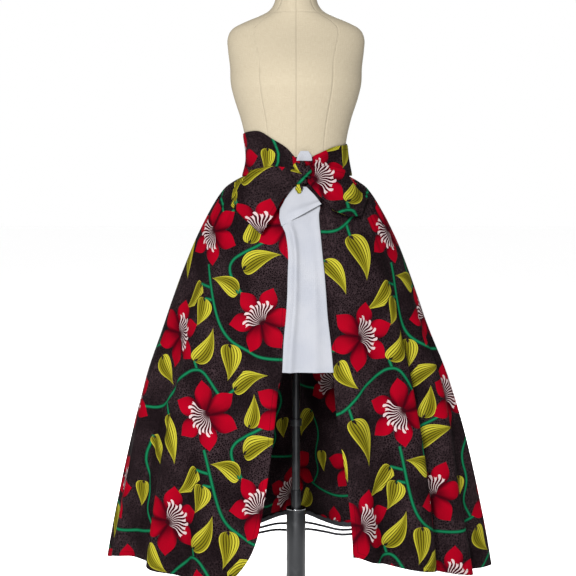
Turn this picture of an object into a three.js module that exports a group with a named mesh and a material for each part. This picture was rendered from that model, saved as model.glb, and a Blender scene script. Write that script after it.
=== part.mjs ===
// A floor-length printed skirt, open at the front and tied with a wide sash, on a limbless dress form.
// Millimetres, +Z up, the front faces -Y, and the origin is under the middle of the base.
// "Left" and "right" are as seen from the front: left is -X.
import * as THREE from "three";

// ---- Driving dimensions ----
const CLOTH = 2; // wall of the printed cloth with its turned edges
const THIN_CLOTH = 1.2; // wall of the hem facing and the tapes
const GAP = 0.4; // between pieces that touch
const SEAM_HALF_GAP = 0.2; // each panel stops this far from the middle of its seam

const SKIRT_TOP = 1113.4; // where the gathered panels are sewn to the waistband
const BAND_TOP = 1158;
const SASH_BOTTOM = 1115;
const BAND_OUT = GAP; // the waistband's inner face stands this far off the torso
const SASH_OUT = BAND_OUT + CLOTH + GAP; // and the sash's inner face this far

const TORSO_COLUMNS = 48;
const PANEL_COLUMNS = 22;
const PANEL_ROWS = 13;
const ROW_CROWDING = 1.5; // over 1, the panels' rows crowd towards the gathered top

const SEAT = 0.3; // between two hard pieces that rest on each other or slide in each other
const BASE_RADIUS = 200;
const BASE_THICKNESS = 14;
const BASE_EDGE = 4; // its chamfer
const BOSS_FOOT_RADIUS = 44;
const BOSS_RADIUS = 36;
const BOSS_TOP = 30;
const COLUMN_RADIUS = 23;
const COLUMN_BORE = 16;
const COLUMN_TOP = 316;
const RING_THICKNESS = 3;
const SLEEVE_RADIUS = 12;
const SLEEVE_TOP = 361;
const SLEEVE_BOTTOM = 250;
const POLE_RADIUS = 9.5;
const POLE_BOTTOM = 165;
const COLLAR_RADIUS = 14;
const COLLAR_HALF_HEIGHT = 8;
const COLLAR_Z = 524;
const FLANGE_RADIUS = 34;
const FLANGE_THICKNESS = 6;
const TORSO_BOTTOM = 930;
const NECK_TOP = 1580;
const NECK_MIDDLE_Y = -4;
const BASE_SEGMENTS = 64;
const ROUND_SEGMENTS = 40;

// ---- Short tables ----
// A table's rows become objects with the named columns.
function table(columns, ...rows) {
  return rows.map((row) => Object.fromEntries(columns.map((name, i) => [name, row[i]])));
}

// The dress form's sections, from the hip to the neck.
const TORSO = table(
  ["z", "halfWidth", "halfDepth", "middleY"],
  [TORSO_BOTTOM, 120, 88, 0],
  [945, 150, 108, 0],
  [965, 165, 119, 0],
  [1000, 167, 121, 0],
  [1050, 153, 112, 0],
  [1100, 131, 98, 0],
  [1150, 117, 87, 0],
  [1200, 121, 90, -1],
  [1250, 132, 100, -4],
  [1300, 148, 113, -8],
  [1335, 156, 119, -10],
  [1375, 158, 113, -6],
  [1415, 163, 98, 0],
  [1445, 164, 84, 4],
  [1468, 152, 74, 6],
  [1484, 122, 68, 6],
  [1496, 92, 64, 5],
  [1508, 68, 60, 3],
  [1525, 54, 55, 0],
  [1545, 49, 51, -2],
  [NECK_TOP, 48, 50, NECK_MIDDLE_Y],
);

// Levels of the dress form's rings: close together at the waist, where the cloth lies on it.
const TORSO_LEVELS = [
  ...[930, 937, 948, 965, 985, 1010, 1040, 1070],
  ...[1100, 1113, 1126, 1139, 1152, 1165, 1178, 1191, 1204, 1217, 1230],
  ...[1262, 1296, 1328, 1360, 1395, 1425, 1447],
  ...[1464, 1477, 1486, 1494, 1502, 1511, 1526, 1545, NECK_TOP],
];

// The skirt's sections below its gathered top, without the folds.
const SKIRT_BELOW = table(
  ["z", "halfWidth", "frontDepth", "backDepth"],
  [1103, 148, 106, 110],
  [1086, 171, 118, 127],
  [1047, 198, 131, 146],
  [971, 237, 153, 172],
  [894, 269, 173, 193],
  [817, 297, 191, 212],
  [740, 323, 208, 229],
  [663, 350, 224, 245],
  [587, 372, 238, 258],
  [510, 393, 251, 269],
  [433, 411, 262, 278],
  [356, 427, 272, 285],
  [279, 442, 280, 290],
  [190, 457, 288, 294],
);

// The edges of the front opening: how far each lies from the middle, level by level.
const LEFT_EDGE = table(
  ["z", "x"],
  [1120, -8],
  [900, -17],
  [690, -28],
  [640, -40],
  [512, -54],
  [360, -79],
  [291, -99],
  [239, -131],
  [193, -177],
);
const RIGHT_EDGE = table(
  ["z", "x"],
  [1120, 14],
  [900, 52],
  [690, 79],
  [580, 88],
  [485, 103],
  [360, 118],
  [279, 123],
);

// The hem's height round the skirt. Angles are in degrees from the front, to the right.
const HEM = table(
  ["angle", "z"],
  [-180, 200],
  [-90, 203],
  [-75, 230],
  [-60, 243],
  [-45, 235],
  [-35, 215],
  [-23, 193],
  [15, 281],
  [22, 266],
  [32, 244],
  [42, 232],
  [55, 208],
  [70, 201],
  [90, 198],
  [180, 200],
);

// The largest folds, as ridges (depth over 0) and troughs. A fold runs from topAngle to hemAngle,
// starts at the share "from" of the way down and has its whole depth at the share "full".
const FOLDS = table(
  ["topAngle", "hemAngle", "spread", "depth", "from", "full"],
  [-20, -8, 5, 18, 0.1, 0.5],
  [-27, -19, 4.5, -18, 0.1, 0.45],
  [-37, -26, 5.5, 24, 0, 0.3],
  [-42, -34.5, 3.5, -30, 0.55, 0.95],
  [-47, -43, 6, 30, 0.05, 0.45],
  [-63, -54, 6, -20, 0.05, 0.4],
  [-73, -65, 6, 20, 0.2, 0.6],
  [-82, -77, 4, -20, 0.6, 0.9],
  [26, 19, 5, 22, 0, 0.3],
  [34, 30, 4, -24, 0.05, 0.8],
  [45, 40, 6, 28, 0, 0.3],
  [57, 50, 4.5, -34, 0.1, 0.4],
  [64, 60, 5, 24, 0.25, 0.55],
  [71, 67.5, 4, -26, 0.5, 0.8],
  [80, 77, 5, 18, 0.3, 0.6],
  [180, 180, 6.2, 115, 0.02, 0.95],
  [-166, -165, 5, -12, 0.2, 0.7],
  [-150, -151, 7, 28, 0.05, 0.5],
  [-136, -138, 5, -28, 0.1, 0.6],
  [-121, -124, 7, 26, 0, 0.4],
  [-105, -108, 5, -22, 0.3, 0.8],
  [165, 164, 5, -14, 0.3, 0.8],
  [147, 148, 6, 30, 0, 0.4],
  [131, 134, 5, -26, 0.1, 0.6],
  [117, 120, 7, 24, 0.05, 0.5],
  [102, 104, 4.5, -20, 0.4, 0.8],
);

// The sash's top and bottom edges: it is pinched into the knot, just right of the middle.
const SASH = table(
  ["angle", "top", "bottom", "bulge"],
  [-180, 1205, SASH_BOTTOM, 0],
  [-90, 1214, SASH_BOTTOM, 0],
  [-60, 1219, SASH_BOTTOM, 0],
  [-42, 1218, SASH_BOTTOM, 0],
  [-27, 1201, 1117, 2],
  [-11, 1180, 1122, 5],
  [5, 1148, 1119, 8],
  [23, 1164, 1121, 6],
  [46, 1182, 1116, 5],
  [72, 1188, SASH_BOTTOM, 7],
  [90, 1190, SASH_BOTTOM, 7],
  [125, 1199, SASH_BOTTOM, 2],
  [180, 1205, SASH_BOTTOM, 0],
);

// The knot and the pieces that leave it, from the front.
const KNOT = { x: 11, z: 1120, halfWidth: 25, halfHeight: 28, halfDepth: 16 };
const KNOT_TIP = { x: 6, z: 1084, halfWidth: 9, halfHeight: 11, halfDepth: 5 };

// The long white tail: its side edges, level by level.
const TAIL = table(
  ["z", "left", "right"],
  [1064, -14, 40],
  [1046, -23, 54],
  [1026, -31, 52],
  [1002, -33, 53],
  [982, -25, 55],
  [937, -19, 59],
  [885, -20, 64],
  [842, -21, 67],
  [796, -24, 70],
  [743, -29, 76],
  [676, -32, 82],
);
// The slanted stretch between the knot and the tail: its left and right edges, from the top down.
const TAIL_FOLD = table(
  ["leftX", "leftZ", "rightX", "rightZ"],
  [-8, 1089, 23, 1089],
  [-25, 1062, 41, 1071],
  [-38, 1038, 50, 1060],
  [-39.5, 1018, 54, 1054],
  [-34, 999, 57, 1050],
);
const TAIL_HEAD = table(
  ["z", "left", "right"],
  [1149, 0, 37],
  [1160, 3, 36],
  [1172, 10, 28],
);

// A bow loop seen from the front: its upper and lower edges, from the knot to its outer fold.
const LEFT_LOOP = table(
  ["upperX", "upperZ", "lowerX", "lowerZ"],
  [-12.5, 1131, -12.5, 1104],
  [-60, 1137, -30, 1062],
  [-106, 1127, -52, 1024],
  [-132, 1092, -72, 992],
  [-152, 1044, -80, 980],
);
const RIGHT_LOOP = table(
  ["upperX", "upperZ", "lowerX", "lowerZ"],
  [34.5, 1132, 34.5, 1104],
  [76, 1138, 55, 1066],
  [112, 1129, 84, 1035],
  [140, 1086, 122, 1020],
  [166, 1060, 152, 1022],
);
const LOOP_DEPTH = 24; // from the back layer to the front one, at the loop's fullest
const LOOP_DEPTH_AT_KNOT = 5;
const LOOP_LEAST_DEPTH = 2.6;
const LOOP_FULL_AT = 0.6; // the loop is fullest from this share of its length
const LOOP_ROUND_FROM = 0.7; // the outer fold rounds over from this share of the length
// The back layers' distances from the skirt, before their facets.
const LOOP_OUT = { bow_loop_left: 5.4, bow_loop_right: 4.2 };

// ---- Curves and small sums ----
// The smooth value of one column of a table at a value of another.
function smoothAt(rows, key, column, value) {
  const rising = rows[0][key] < rows[rows.length - 1][key];
  const ordered = rising ? rows : [...rows].reverse();
  const last = ordered.length - 1;
  const at = Math.min(Math.max(value, ordered[0][key]), ordered[last][key]);
  let i = 0;
  while (i < last - 1 && at > ordered[i + 1][key]) i += 1;
  const slope = (n) => {
    const before = ordered[Math.max(n - 1, 0)];
    const after = ordered[Math.min(n + 1, last)];
    return (after[column] - before[column]) / (after[key] - before[key]);
  };
  const width = ordered[i + 1][key] - ordered[i][key];
  const s = (at - ordered[i][key]) / width;
  const [low, high] = [ordered[i][column], ordered[i + 1][column]];
  const ends = (2 * s ** 3 - 3 * s ** 2 + 1) * low + (3 * s ** 2 - 2 * s ** 3) * high;
  const bends = (s ** 3 - 2 * s ** 2 + s) * slope(i) + (s ** 3 - s ** 2) * slope(i + 1);
  return ends + bends * width;
}

function smoothStep(low, high, value) {
  return THREE.MathUtils.smoothstep(value, low, high);
}

const lerp = THREE.MathUtils.lerp;
const radians = THREE.MathUtils.degToRad;
const degrees = THREE.MathUtils.radToDeg;

// The whole numbers from 0 to count, as shares of count.
function shares(count) {
  return Array.from({ length: count + 1 }, (_, i) => i / count);
}

// ---- The dress form's surface ----
// Straight between its rings, as the solid is.
function torsoSize(z) {
  let i = 0;
  while (i < TORSO_LEVELS.length - 2 && z > TORSO_LEVELS[i + 1]) i += 1;
  const s = (z - TORSO_LEVELS[i]) / (TORSO_LEVELS[i + 1] - TORSO_LEVELS[i]);
  const size = {};
  for (const column of ["halfWidth", "halfDepth", "middleY"]) {
    const below = smoothAt(TORSO, "z", column, TORSO_LEVELS[i]);
    const above = smoothAt(TORSO, "z", column, TORSO_LEVELS[i + 1]);
    size[column] = lerp(below, above, s);
  }
  return size;
}

// A point at an angle and a level, moved out from the dress form.
function torsoPoint(angle, z, out) {
  const size = torsoSize(z);
  const a = radians(angle);
  const x = (size.halfWidth + out) * Math.sin(a);
  const y = size.middleY - (size.halfDepth + out) * Math.cos(a);
  return new THREE.Vector3(x, y, z);
}

// ---- The skirt's surface ----
const TOP_SIZE = torsoSize(SKIRT_TOP);
const SKIRT = [
  {
    z: SKIRT_TOP,
    halfWidth: TOP_SIZE.halfWidth + BAND_OUT + CLOTH,
    frontDepth: TOP_SIZE.halfDepth + BAND_OUT + CLOTH,
    backDepth: TOP_SIZE.halfDepth + BAND_OUT + CLOTH,
  },
  ...SKIRT_BELOW,
];
const HEM_LEVEL = 200;

function foldDepth(angle, z) {
  const down = THREE.MathUtils.clamp((SKIRT_TOP - z) / (SKIRT_TOP - HEM_LEVEL), 0, 1);
  let depth = 0;
  for (const fold of FOLDS) {
    const middle = lerp(fold.topAngle, fold.hemAngle, down);
    const turn = THREE.MathUtils.euclideanModulo(angle - middle + 180, 360) - 180;
    const share = Math.exp(-0.5 * (turn / fold.spread) ** 2);
    depth += fold.depth * down ** 0.7 * smoothStep(fold.from, fold.full, down) * share;
  }
  return depth;
}

// A point of the skirt's outer face.
function skirtPoint(angle, z) {
  const a = radians(angle);
  const fold = foldDepth(angle, z);
  const wide = smoothAt(SKIRT, "z", "halfWidth", z) + fold;
  const deep = smoothAt(SKIRT, "z", Math.cos(a) > 0 ? "frontDepth" : "backDepth", z) + fold;
  return new THREE.Vector3(wide * Math.sin(a), -deep * Math.cos(a), z);
}

// The skirt's outward direction at a point, from two short steps along it.
function skirtNormal(angle, z) {
  const here = skirtPoint(angle, z);
  const round = skirtPoint(angle + 0.5, z).sub(skirtPoint(angle - 0.5, z));
  const level = Math.min(z, SKIRT_TOP - 1);
  const up = skirtPoint(angle, level + 1).sub(skirtPoint(angle, level - 1));
  const normal = round.cross(up).normalize();
  const outwards = here.x * normal.x + here.y * normal.y;
  return outwards < 0 ? normal.negate() : normal;
}

// The angle at which the skirt's outer face has this x, on the front.
function frontAngle(x, z) {
  let angle = 0;
  for (let step = 0; step < 6; step += 1) {
    const wide = smoothAt(SKIRT, "z", "halfWidth", z) + foldDepth(angle, z);
    angle = degrees(Math.asin(THREE.MathUtils.clamp(x / wide, -1, 1)));
  }
  return angle;
}

// How far the front of the skirt or sash reaches towards -Y at a point seen from the front.
const SASH_HALF_WIDTH = 130; // near enough to turn a distance across the front into an angle
const SASH_SHADOW = 4; // what lies in front of the sash clears it from this far below its edge
function frontReach(x, z) {
  const level = Math.min(z, SKIRT_TOP);
  const skirt = -skirtPoint(frontAngle(x, level), level).y;
  if (z < SASH_BOTTOM - SASH_SHADOW) return skirt;
  const size = torsoSize(z);
  const angle = degrees(Math.asin(THREE.MathUtils.clamp(x / SASH_HALF_WIDTH, -1, 1)));
  const bulge = smoothAt(SASH, "angle", "bulge", angle);
  const out = SASH_OUT + CLOTH + bulge;
  const across = THREE.MathUtils.clamp(x / (size.halfWidth + out), -1, 1);
  const sash = (size.halfDepth + out) * Math.sqrt(1 - across ** 2) - size.middleY;
  return z < SASH_BOTTOM ? Math.max(skirt, sash) : sash;
}

// ---- Solids from rings and grids of points ----
function geometryOf(points, triangles) {
  const geometry = new THREE.BufferGeometry().setFromPoints(points);
  geometry.setIndex(triangles);
  geometry.computeVertexNormals();
  return geometry;
}

// A closed body from a stack of rings, with a flat fan at each end.
function stackOfRings(rings) {
  const count = rings[0].length;
  const points = rings.flat();
  const triangles = [];
  for (let i = 0; i < rings.length - 1; i += 1) {
    for (let j = 0; j < count; j += 1) {
      const next = (j + 1) % count;
      const [a, b] = [i * count + j, i * count + next];
      const [c, d] = [a + count, b + count];
      triangles.push(a, b, d, a, d, c);
    }
  }
  const closeEnd = (ring, first, facesDown) => {
    const sum = ring.reduce((total, p) => total.add(p), new THREE.Vector3());
    const middle = points.push(sum.divideScalar(count)) - 1;
    for (let j = 0; j < count; j += 1) {
      const [a, b] = [first + j, first + ((j + 1) % count)];
      if (facesDown) triangles.push(middle, b, a);
      else triangles.push(middle, a, b);
    }
  };
  closeEnd(rings[0], 0, true);
  closeEnd(rings[rings.length - 1], (rings.length - 1) * count, false);
  return geometryOf(points, triangles);
}

// A closed wall between an outer and an inner grid of points. Rows run down and columns to the right,
// seen from outside. A wrapped wall joins its last column to its first.
function wall(outer, inner, wrapped = false) {
  const rows = outer.length;
  const columns = outer[0].length;
  const points = [...outer.flat(), ...inner.flat()];
  const at = (side, i, j) => side * rows * columns + i * columns + (j % columns);
  const triangles = [];
  const square = (a, b, c, d) => triangles.push(a, b, c, a, c, d);
  const steps = wrapped ? columns : columns - 1;
  for (let j = 0; j < steps; j += 1) {
    for (let i = 0; i < rows - 1; i += 1) {
      square(at(0, i, j), at(0, i + 1, j), at(0, i + 1, j + 1), at(0, i, j + 1));
      square(at(1, i, j), at(1, i, j + 1), at(1, i + 1, j + 1), at(1, i + 1, j));
    }
    square(at(0, 0, j), at(0, 0, j + 1), at(1, 0, j + 1), at(1, 0, j));
    const last = rows - 1;
    square(at(0, last, j), at(1, last, j), at(1, last, j + 1), at(0, last, j + 1));
  }
  for (let i = 0; i < rows - 1 && !wrapped; i += 1) {
    const last = columns - 1;
    square(at(0, i, 0), at(1, i, 0), at(1, i + 1, 0), at(0, i + 1, 0));
    square(at(0, i, last), at(0, i + 1, last), at(1, i + 1, last), at(1, i, last));
  }
  return geometryOf(points, triangles);
}

// A turned piece from its outline: pairs of radius and height, from the inside's bottom round to its top.
function turned(outline, segments = ROUND_SEGMENTS) {
  const profile = outline.map(([radius, height]) => new THREE.Vector2(radius, height));
  const geometry = new THREE.LatheGeometry(profile, segments);
  geometry.rotateX(Math.PI / 2);
  return geometry;
}

// A turned ring: bore, outside, bottom and top.
function turnedTube(bore, radius, bottom, top) {
  const outline = [
    [bore, bottom],
    [radius, bottom],
    [radius, top],
    [bore, top],
    [bore, bottom],
  ];
  return turned(outline);
}

// ---- Materials ----
function finish(color, roughness, metalness = 0) {
  return new THREE.MeshStandardMaterial({ color, roughness, metalness });
}
const printedCotton = () => finish(0x2a1418, 0.8);
const whiteCotton = () => finish(0xdde0e6, 0.8);
const greyTape = () => finish(0x4a4a4e, 0.85);
const creamLinen = () => finish(0xe9e2d4, 0.9);
const darkMetal = () => finish(0x3a3c40, 0.4, 0.8);
const brightMetal = () => finish(0xb8bbc0, 0.3, 0.9);

const model = new THREE.Group();
function add(name, geometry, material) {
  const mesh = new THREE.Mesh(geometry, material);
  mesh.name = name;
  model.add(mesh);
}

// ---- The four skirt panels ----
// The angle of a column at a level. Column 0 is the left edge seen from outside the panel, from the front.
function edgeAngle(edge, z) {
  return frontAngle(smoothAt(edge, "z", "x", z), z);
}

// A seam's angle at a level, moved by the half gap to one side. The skirt is less deep than wide.
const MEAN_RADIUS_SHARE = 0.8;
function seamAngle(angle, z, side) {
  const radius = MEAN_RADIUS_SHARE * smoothAt(SKIRT, "z", "halfWidth", z);
  return angle + side * degrees(SEAM_HALF_GAP / radius);
}

const PANELS = {
  skirt_front_left: { start: (z) => seamAngle(-90, z, 1), end: (z) => edgeAngle(LEFT_EDGE, z) },
  skirt_front_right: { start: (z) => edgeAngle(RIGHT_EDGE, z), end: (z) => seamAngle(90, z, -1) },
  skirt_back_right: { start: (z) => seamAngle(90, z, 1), end: (z) => seamAngle(180, z, -1) },
  skirt_back_left: { start: (z) => seamAngle(-180, z, 1), end: (z) => seamAngle(-90, z, -1) },
};

// The angle at which one of a panel's edges meets the hem.
function cornerAngle(edge) {
  return edge(smoothAt(HEM, "angle", "z", edge(HEM_LEVEL)));
}

// The panel's angle and level at a share across and a share down.
function panelPlace(panel, across, down) {
  const hemAngle = lerp(cornerAngle(panel.start), cornerAngle(panel.end), across);
  const hem = smoothAt(HEM, "angle", "z", hemAngle);
  const z = lerp(SKIRT_TOP, hem, down);
  return { angle: lerp(panel.start(z), panel.end(z), across), z };
}

const linings = {};
for (const [name, panel] of Object.entries(PANELS)) {
  const outer = [];
  const inner = [];
  for (const row of shares(PANEL_ROWS)) {
    const places = shares(PANEL_COLUMNS).map((across) => panelPlace(panel, across, row ** ROW_CROWDING));
    const outerRow = places.map(({ angle, z }) => skirtPoint(angle, z));
    const inwards = places.map(({ angle, z }) => skirtNormal(angle, z).multiplyScalar(-CLOTH));
    outer.push(outerRow);
    inner.push(outerRow.map((point, i) => point.clone().add(inwards[i])));
  }
  linings[name] = inner;
  add(name, wall(outer, inner), printedCotton());
}

// ---- The waistband and the sash ----
const ROUND = shares(TORSO_COLUMNS).slice(0, -1).map((share) => 360 * share - 180);

// A wall all round the dress form, from its levels and its distances out at each angle.
function roundWall(levelsAt, outAt) {
  const pointAt = (angle, row, extra) => torsoPoint(angle, levelsAt(angle)[row], outAt(angle, row) + extra);
  const grid = (extra) => levelsAt(0).map((_, row) => ROUND.map((angle) => pointAt(angle, row, extra)));
  return wall(grid(CLOTH), grid(0), true);
}

// The waistband bends at the dress form's rings.
const BAND_BOTTOM = SKIRT_TOP + GAP;
const bandBends = TORSO_LEVELS.filter((z) => z > BAND_BOTTOM && z < BAND_TOP).reverse();
const bandLevels = [BAND_TOP, ...bandBends, BAND_BOTTOM];
add("waistband", roundWall(() => bandLevels, () => BAND_OUT), printedCotton());

const SASH_ROWS = 5;
const BULGE_SPAN = 1.3; // the bulge is half a wave that ends this many heights below the top edge
function sashLevels(angle) {
  const top = smoothAt(SASH, "angle", "top", angle);
  const bottom = smoothAt(SASH, "angle", "bottom", angle);
  return shares(SASH_ROWS).map((down) => lerp(top, bottom, down));
}
function sashOut(angle, row) {
  const wave = Math.sin((Math.PI * row) / SASH_ROWS / BULGE_SPAN);
  return SASH_OUT + smoothAt(SASH, "angle", "bulge", angle) * wave;
}
add("sash", roundWall(sashLevels, sashOut), printedCotton());

// ---- The long tail, its slanted fold and its head ----
// A strip seen from the front, its back face at a distance in front of the skirt and sash. Its middle
// is nowhere behind its side edges.
function strip(edgesAt, { rows, columns, out }) {
  const grid = (extra) =>
    shares(rows).map((down) => {
      const [left, right] = edgesAt(down);
      const place = (across) => [lerp(left[0], right[0], across), lerp(left[1], right[1], across)];
      const edgeReach = Math.max(frontReach(...left), frontReach(...right));
      return shares(columns).map((across) => {
        const [x, z] = place(across);
        return new THREE.Vector3(x, -Math.max(edgeReach, frontReach(x, z)) - out - extra, z);
      });
    });
  return wall(grid(CLOTH), grid(0));
}

function tailEdges(down) {
  const z = lerp(TAIL[0].z, TAIL[TAIL.length - 1].z, down);
  return [
    [smoothAt(TAIL, "z", "left", z), z],
    [smoothAt(TAIL, "z", "right", z), z],
  ];
}
const TAIL_OUT = 2 * GAP;
add("tail", strip(tailEdges, { rows: 14, columns: 4, out: TAIL_OUT }), whiteCotton());

// A row of a table at a share of the way from its first row to its last, with straight lines between rows.
function rowsBetween(rows, down) {
  const place = down * (rows.length - 1);
  const i = Math.min(Math.floor(place), rows.length - 2);
  const mixed = {};
  for (const column of Object.keys(rows[0])) {
    mixed[column] = lerp(rows[i][column], rows[i + 1][column], place - i);
  }
  return mixed;
}
function tailFoldEdges(down) {
  const row = rowsBetween(TAIL_FOLD, down);
  return [
    [row.leftX, row.leftZ],
    [row.rightX, row.rightZ],
  ];
}
const FOLD_OUT = TAIL_OUT + CLOTH + 2 * GAP;
add("tail_fold", strip(tailFoldEdges, { rows: 6, columns: 4, out: FOLD_OUT }), whiteCotton());

function tailHeadEdges(down) {
  const row = rowsBetween([...TAIL_HEAD].reverse(), down);
  return [
    [row.left, row.z],
    [row.right, row.z],
  ];
}
const HEAD_OUT = -3.8; // above the knot the sash lies less far out than frontReach says
add("tail_head", strip(tailHeadEdges, { rows: 4, columns: 3, out: HEAD_OUT }), whiteCotton());

// ---- The knot ----
const LUMP_SEGMENTS = 20;
const LUMP_RINGS = 14;
const KNOT_SET_BACK = 2; // into the space under the sash's bulge
const KNOT_BACK = frontReach(KNOT.x, KNOT.z) - KNOT_SET_BACK;
function roundedLump(lump, backY) {
  const geometry = new THREE.SphereGeometry(1, LUMP_SEGMENTS, LUMP_RINGS);
  geometry.scale(lump.halfWidth, lump.halfDepth, lump.halfHeight);
  geometry.translate(lump.x, -backY - lump.halfDepth, lump.z);
  return geometry;
}
add("knot", roundedLump(KNOT, KNOT_BACK), printedCotton());

const TIP_SEAT_BELOW = 8; // the tip lies on the tail's fold this far below its own middle
const TIP_SET_BACK = 1;
const tipSeat = frontReach(KNOT_TIP.x, KNOT_TIP.z - TIP_SEAT_BELOW);
const TIP_BACK = tipSeat + FOLD_OUT + CLOTH - TIP_SET_BACK;
add("knot_tip", roundedLump(KNOT_TIP, TIP_BACK), printedCotton());

// ---- The bow loops ----
// The loop's closed outline along its length: out along the back layer, round the fold and back in front.
const LOOP_STEPS = 12;
const LOOP_ROWS = 5;
function loopOutline(inset) {
  const outwards = shares(LOOP_STEPS).map((share) => lerp(inset, 1 - inset, share));
  const back = outwards.map((along) => ({ along, front: false }));
  const front = [...outwards].reverse().map((along) => ({ along, front: true }));
  return [...back, ...front];
}

function bowLoop(name, edges) {
  const outer = edges[edges.length - 1];
  const length = Math.hypot(edges[0].upperX - outer.upperX, edges[0].upperZ - outer.upperZ);
  const pointAt = (place, across, inset) => {
    const row = rowsBetween(edges, place.along);
    const x = lerp(row.upperX, row.lowerX, across);
    const z = lerp(row.upperZ, row.lowerZ, across);
    const pastRound = Math.max(0, (place.along - LOOP_ROUND_FROM) / (1 - LOOP_ROUND_FROM));
    const full = lerp(LOOP_DEPTH_AT_KNOT, LOOP_DEPTH, smoothStep(0, LOOP_FULL_AT, place.along));
    const depth = Math.max(full * Math.sqrt(1 - pastRound ** 2), LOOP_LEAST_DEPTH) - 2 * inset;
    const back = frontReach(x, z) + LOOP_OUT[name] + inset;
    return new THREE.Vector3(x, -(place.front ? back + depth : back), z);
  };
  const grid = (inset) => {
    const outline = loopOutline(inset / length);
    return shares(LOOP_ROWS).map((across) => outline.map((place) => pointAt(place, across, inset)));
  };
  return { outer: grid(0), inner: grid(CLOTH / 2) };
}
for (const [name, edges] of Object.entries({ bow_loop_left: LEFT_LOOP, bow_loop_right: RIGHT_LOOP })) {
  const { outer, inner } = bowLoop(name, edges);
  const turnedRound = (grid) => grid.map((row) => [...row].reverse());
  const rows = (grid) => (name === "bow_loop_right" ? turnedRound(grid) : grid);
  add(name, wall(rows(outer), rows(inner), true), printedCotton());
}

// ---- The back hem: its facing, and the two hoops that hang below it ----
// The inner points of the back panels' last two rows, from the right side seam round to the left one.
const HEM_RIGHT = { above: linings.skirt_back_right.at(-2), hem: linings.skirt_back_right.at(-1) };
const HEM_LEFT = { above: linings.skirt_back_left.at(-2), hem: linings.skirt_back_left.at(-1) };
const BACK_HEM = {
  above: [...HEM_RIGHT.above, ...HEM_LEFT.above.slice(1)],
  hem: [...HEM_RIGHT.hem, ...HEM_LEFT.hem.slice(1)],
};

// The outward direction of the last row of facets at a column.
function hemNormal({ above, hem }, i) {
  const along = hem[Math.min(i + 1, hem.length - 1)].clone().sub(hem[Math.max(i - 1, 0)]);
  return along.cross(above[i].clone().sub(hem[i])).normalize();
}

// A point on a panel's inner face at a column, some way above the hem and some way in.
function insidePoint(line, i, up, inward) {
  const [low, high] = [line.hem[i], line.above[i]];
  const place = low.clone().lerp(high, up / (high.z - low.z));
  return place.addScaledVector(hemNormal(line, i), -inward);
}

// Each facing stops short of the centre-back seam, where the two fold towards each other.
const FACING_HEIGHT = 12;
const FACING_UP = 1; // its lower edge stands this far above the hem
const FACING_END = 0.5; // share of the last column that it leaves bare at the seam
function addFacing(name, line, seamColumn, besideSeam) {
  const grid = (inward) =>
    [FACING_UP + FACING_HEIGHT, FACING_UP].map((up) =>
      line.hem.map((_, i) => {
        const place = insidePoint(line, i, up, inward);
        return i === seamColumn ? place.lerp(insidePoint(line, besideSeam, up, inward), FACING_END) : place;
      }),
    );
  add(name, wall(grid(GAP), grid(GAP + THIN_CLOTH)), greyTape());
}
addFacing("hem_facing_right", HEM_RIGHT, PANEL_COLUMNS, PANEL_COLUMNS - 1);
addFacing("hem_facing_left", HEM_LEFT, 0, 1);

// The hoops follow the hem with a flatter centre fold.
const HOOP_HEIGHT = 6;
const HOOP_END = 6; // columns of a back panel between the side seam and the hoops' end
const HOOPS = table(["name", "z", "flatter"], ["hem_hoop_upper", 193, 64], ["hem_hoop_lower", 181, 88]);
const CENTRE_FOLD_WIDTH = 50;
for (const hoop of HOOPS) {
  const grid = (inward) =>
    [hoop.z + HOOP_HEIGHT / 2, hoop.z - HOOP_HEIGHT / 2].map((z) =>
      BACK_HEM.hem.slice(HOOP_END, -HOOP_END).map((_, i) => {
        const place = insidePoint(BACK_HEM, i + HOOP_END, 0, inward);
        place.y -= hoop.flatter * Math.exp(-0.5 * (place.x / CENTRE_FOLD_WIDTH) ** 2);
        return place.setZ(z);
      }),
    );
  add(hoop.name, wall(grid(0), grid(CLOTH)), greyTape());
}

// Tapes run down inside the facing and hold the hoops.
const TAPE_OUT = CLOTH + GAP;
const TAPE_UP = 10; // above the hem
const TAPE_BOTTOM = 177;
const TAPE_START = 3; // past the column it hangs at
const TAPE_WIDTH = 7;
const TAPE_COLUMNS = [6, 13, BACK_HEM.hem.length - 14, BACK_HEM.hem.length - 8];
TAPE_COLUMNS.forEach((column, number) => {
  const along = BACK_HEM.hem[column + 1].clone().sub(BACK_HEM.hem[column]).normalize();
  const grid = (inward) => {
    const top = insidePoint(BACK_HEM, column, TAPE_UP, inward);
    const hem = insidePoint(BACK_HEM, column, 0, inward);
    const bottom = hem.clone().setZ(TAPE_BOTTOM);
    return [top, hem, bottom].map((place) =>
      [TAPE_START, TAPE_START + TAPE_WIDTH].map((far) => place.clone().addScaledVector(along, far)),
    );
  };
  add(`hoop_tape_${number + 1}`, wall(grid(TAPE_OUT), grid(TAPE_OUT + THIN_CLOTH)), greyTape());
});

// ---- The base, the column and the pole ----
const base = [
  [0, 0],
  [BASE_RADIUS - BASE_EDGE, 0],
  [BASE_RADIUS, BASE_EDGE],
  [BASE_RADIUS, BASE_THICKNESS - BASE_EDGE],
  [BASE_RADIUS - BASE_EDGE, BASE_THICKNESS],
  [BOSS_FOOT_RADIUS, BASE_THICKNESS + BASE_EDGE],
  [BOSS_RADIUS, BOSS_TOP],
  [0, BOSS_TOP],
];
add("base_disc", turned(base, BASE_SEGMENTS), darkMetal());
add("column", turnedTube(COLUMN_BORE, COLUMN_RADIUS, BOSS_TOP + SEAT, COLUMN_TOP), darkMetal());

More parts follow.
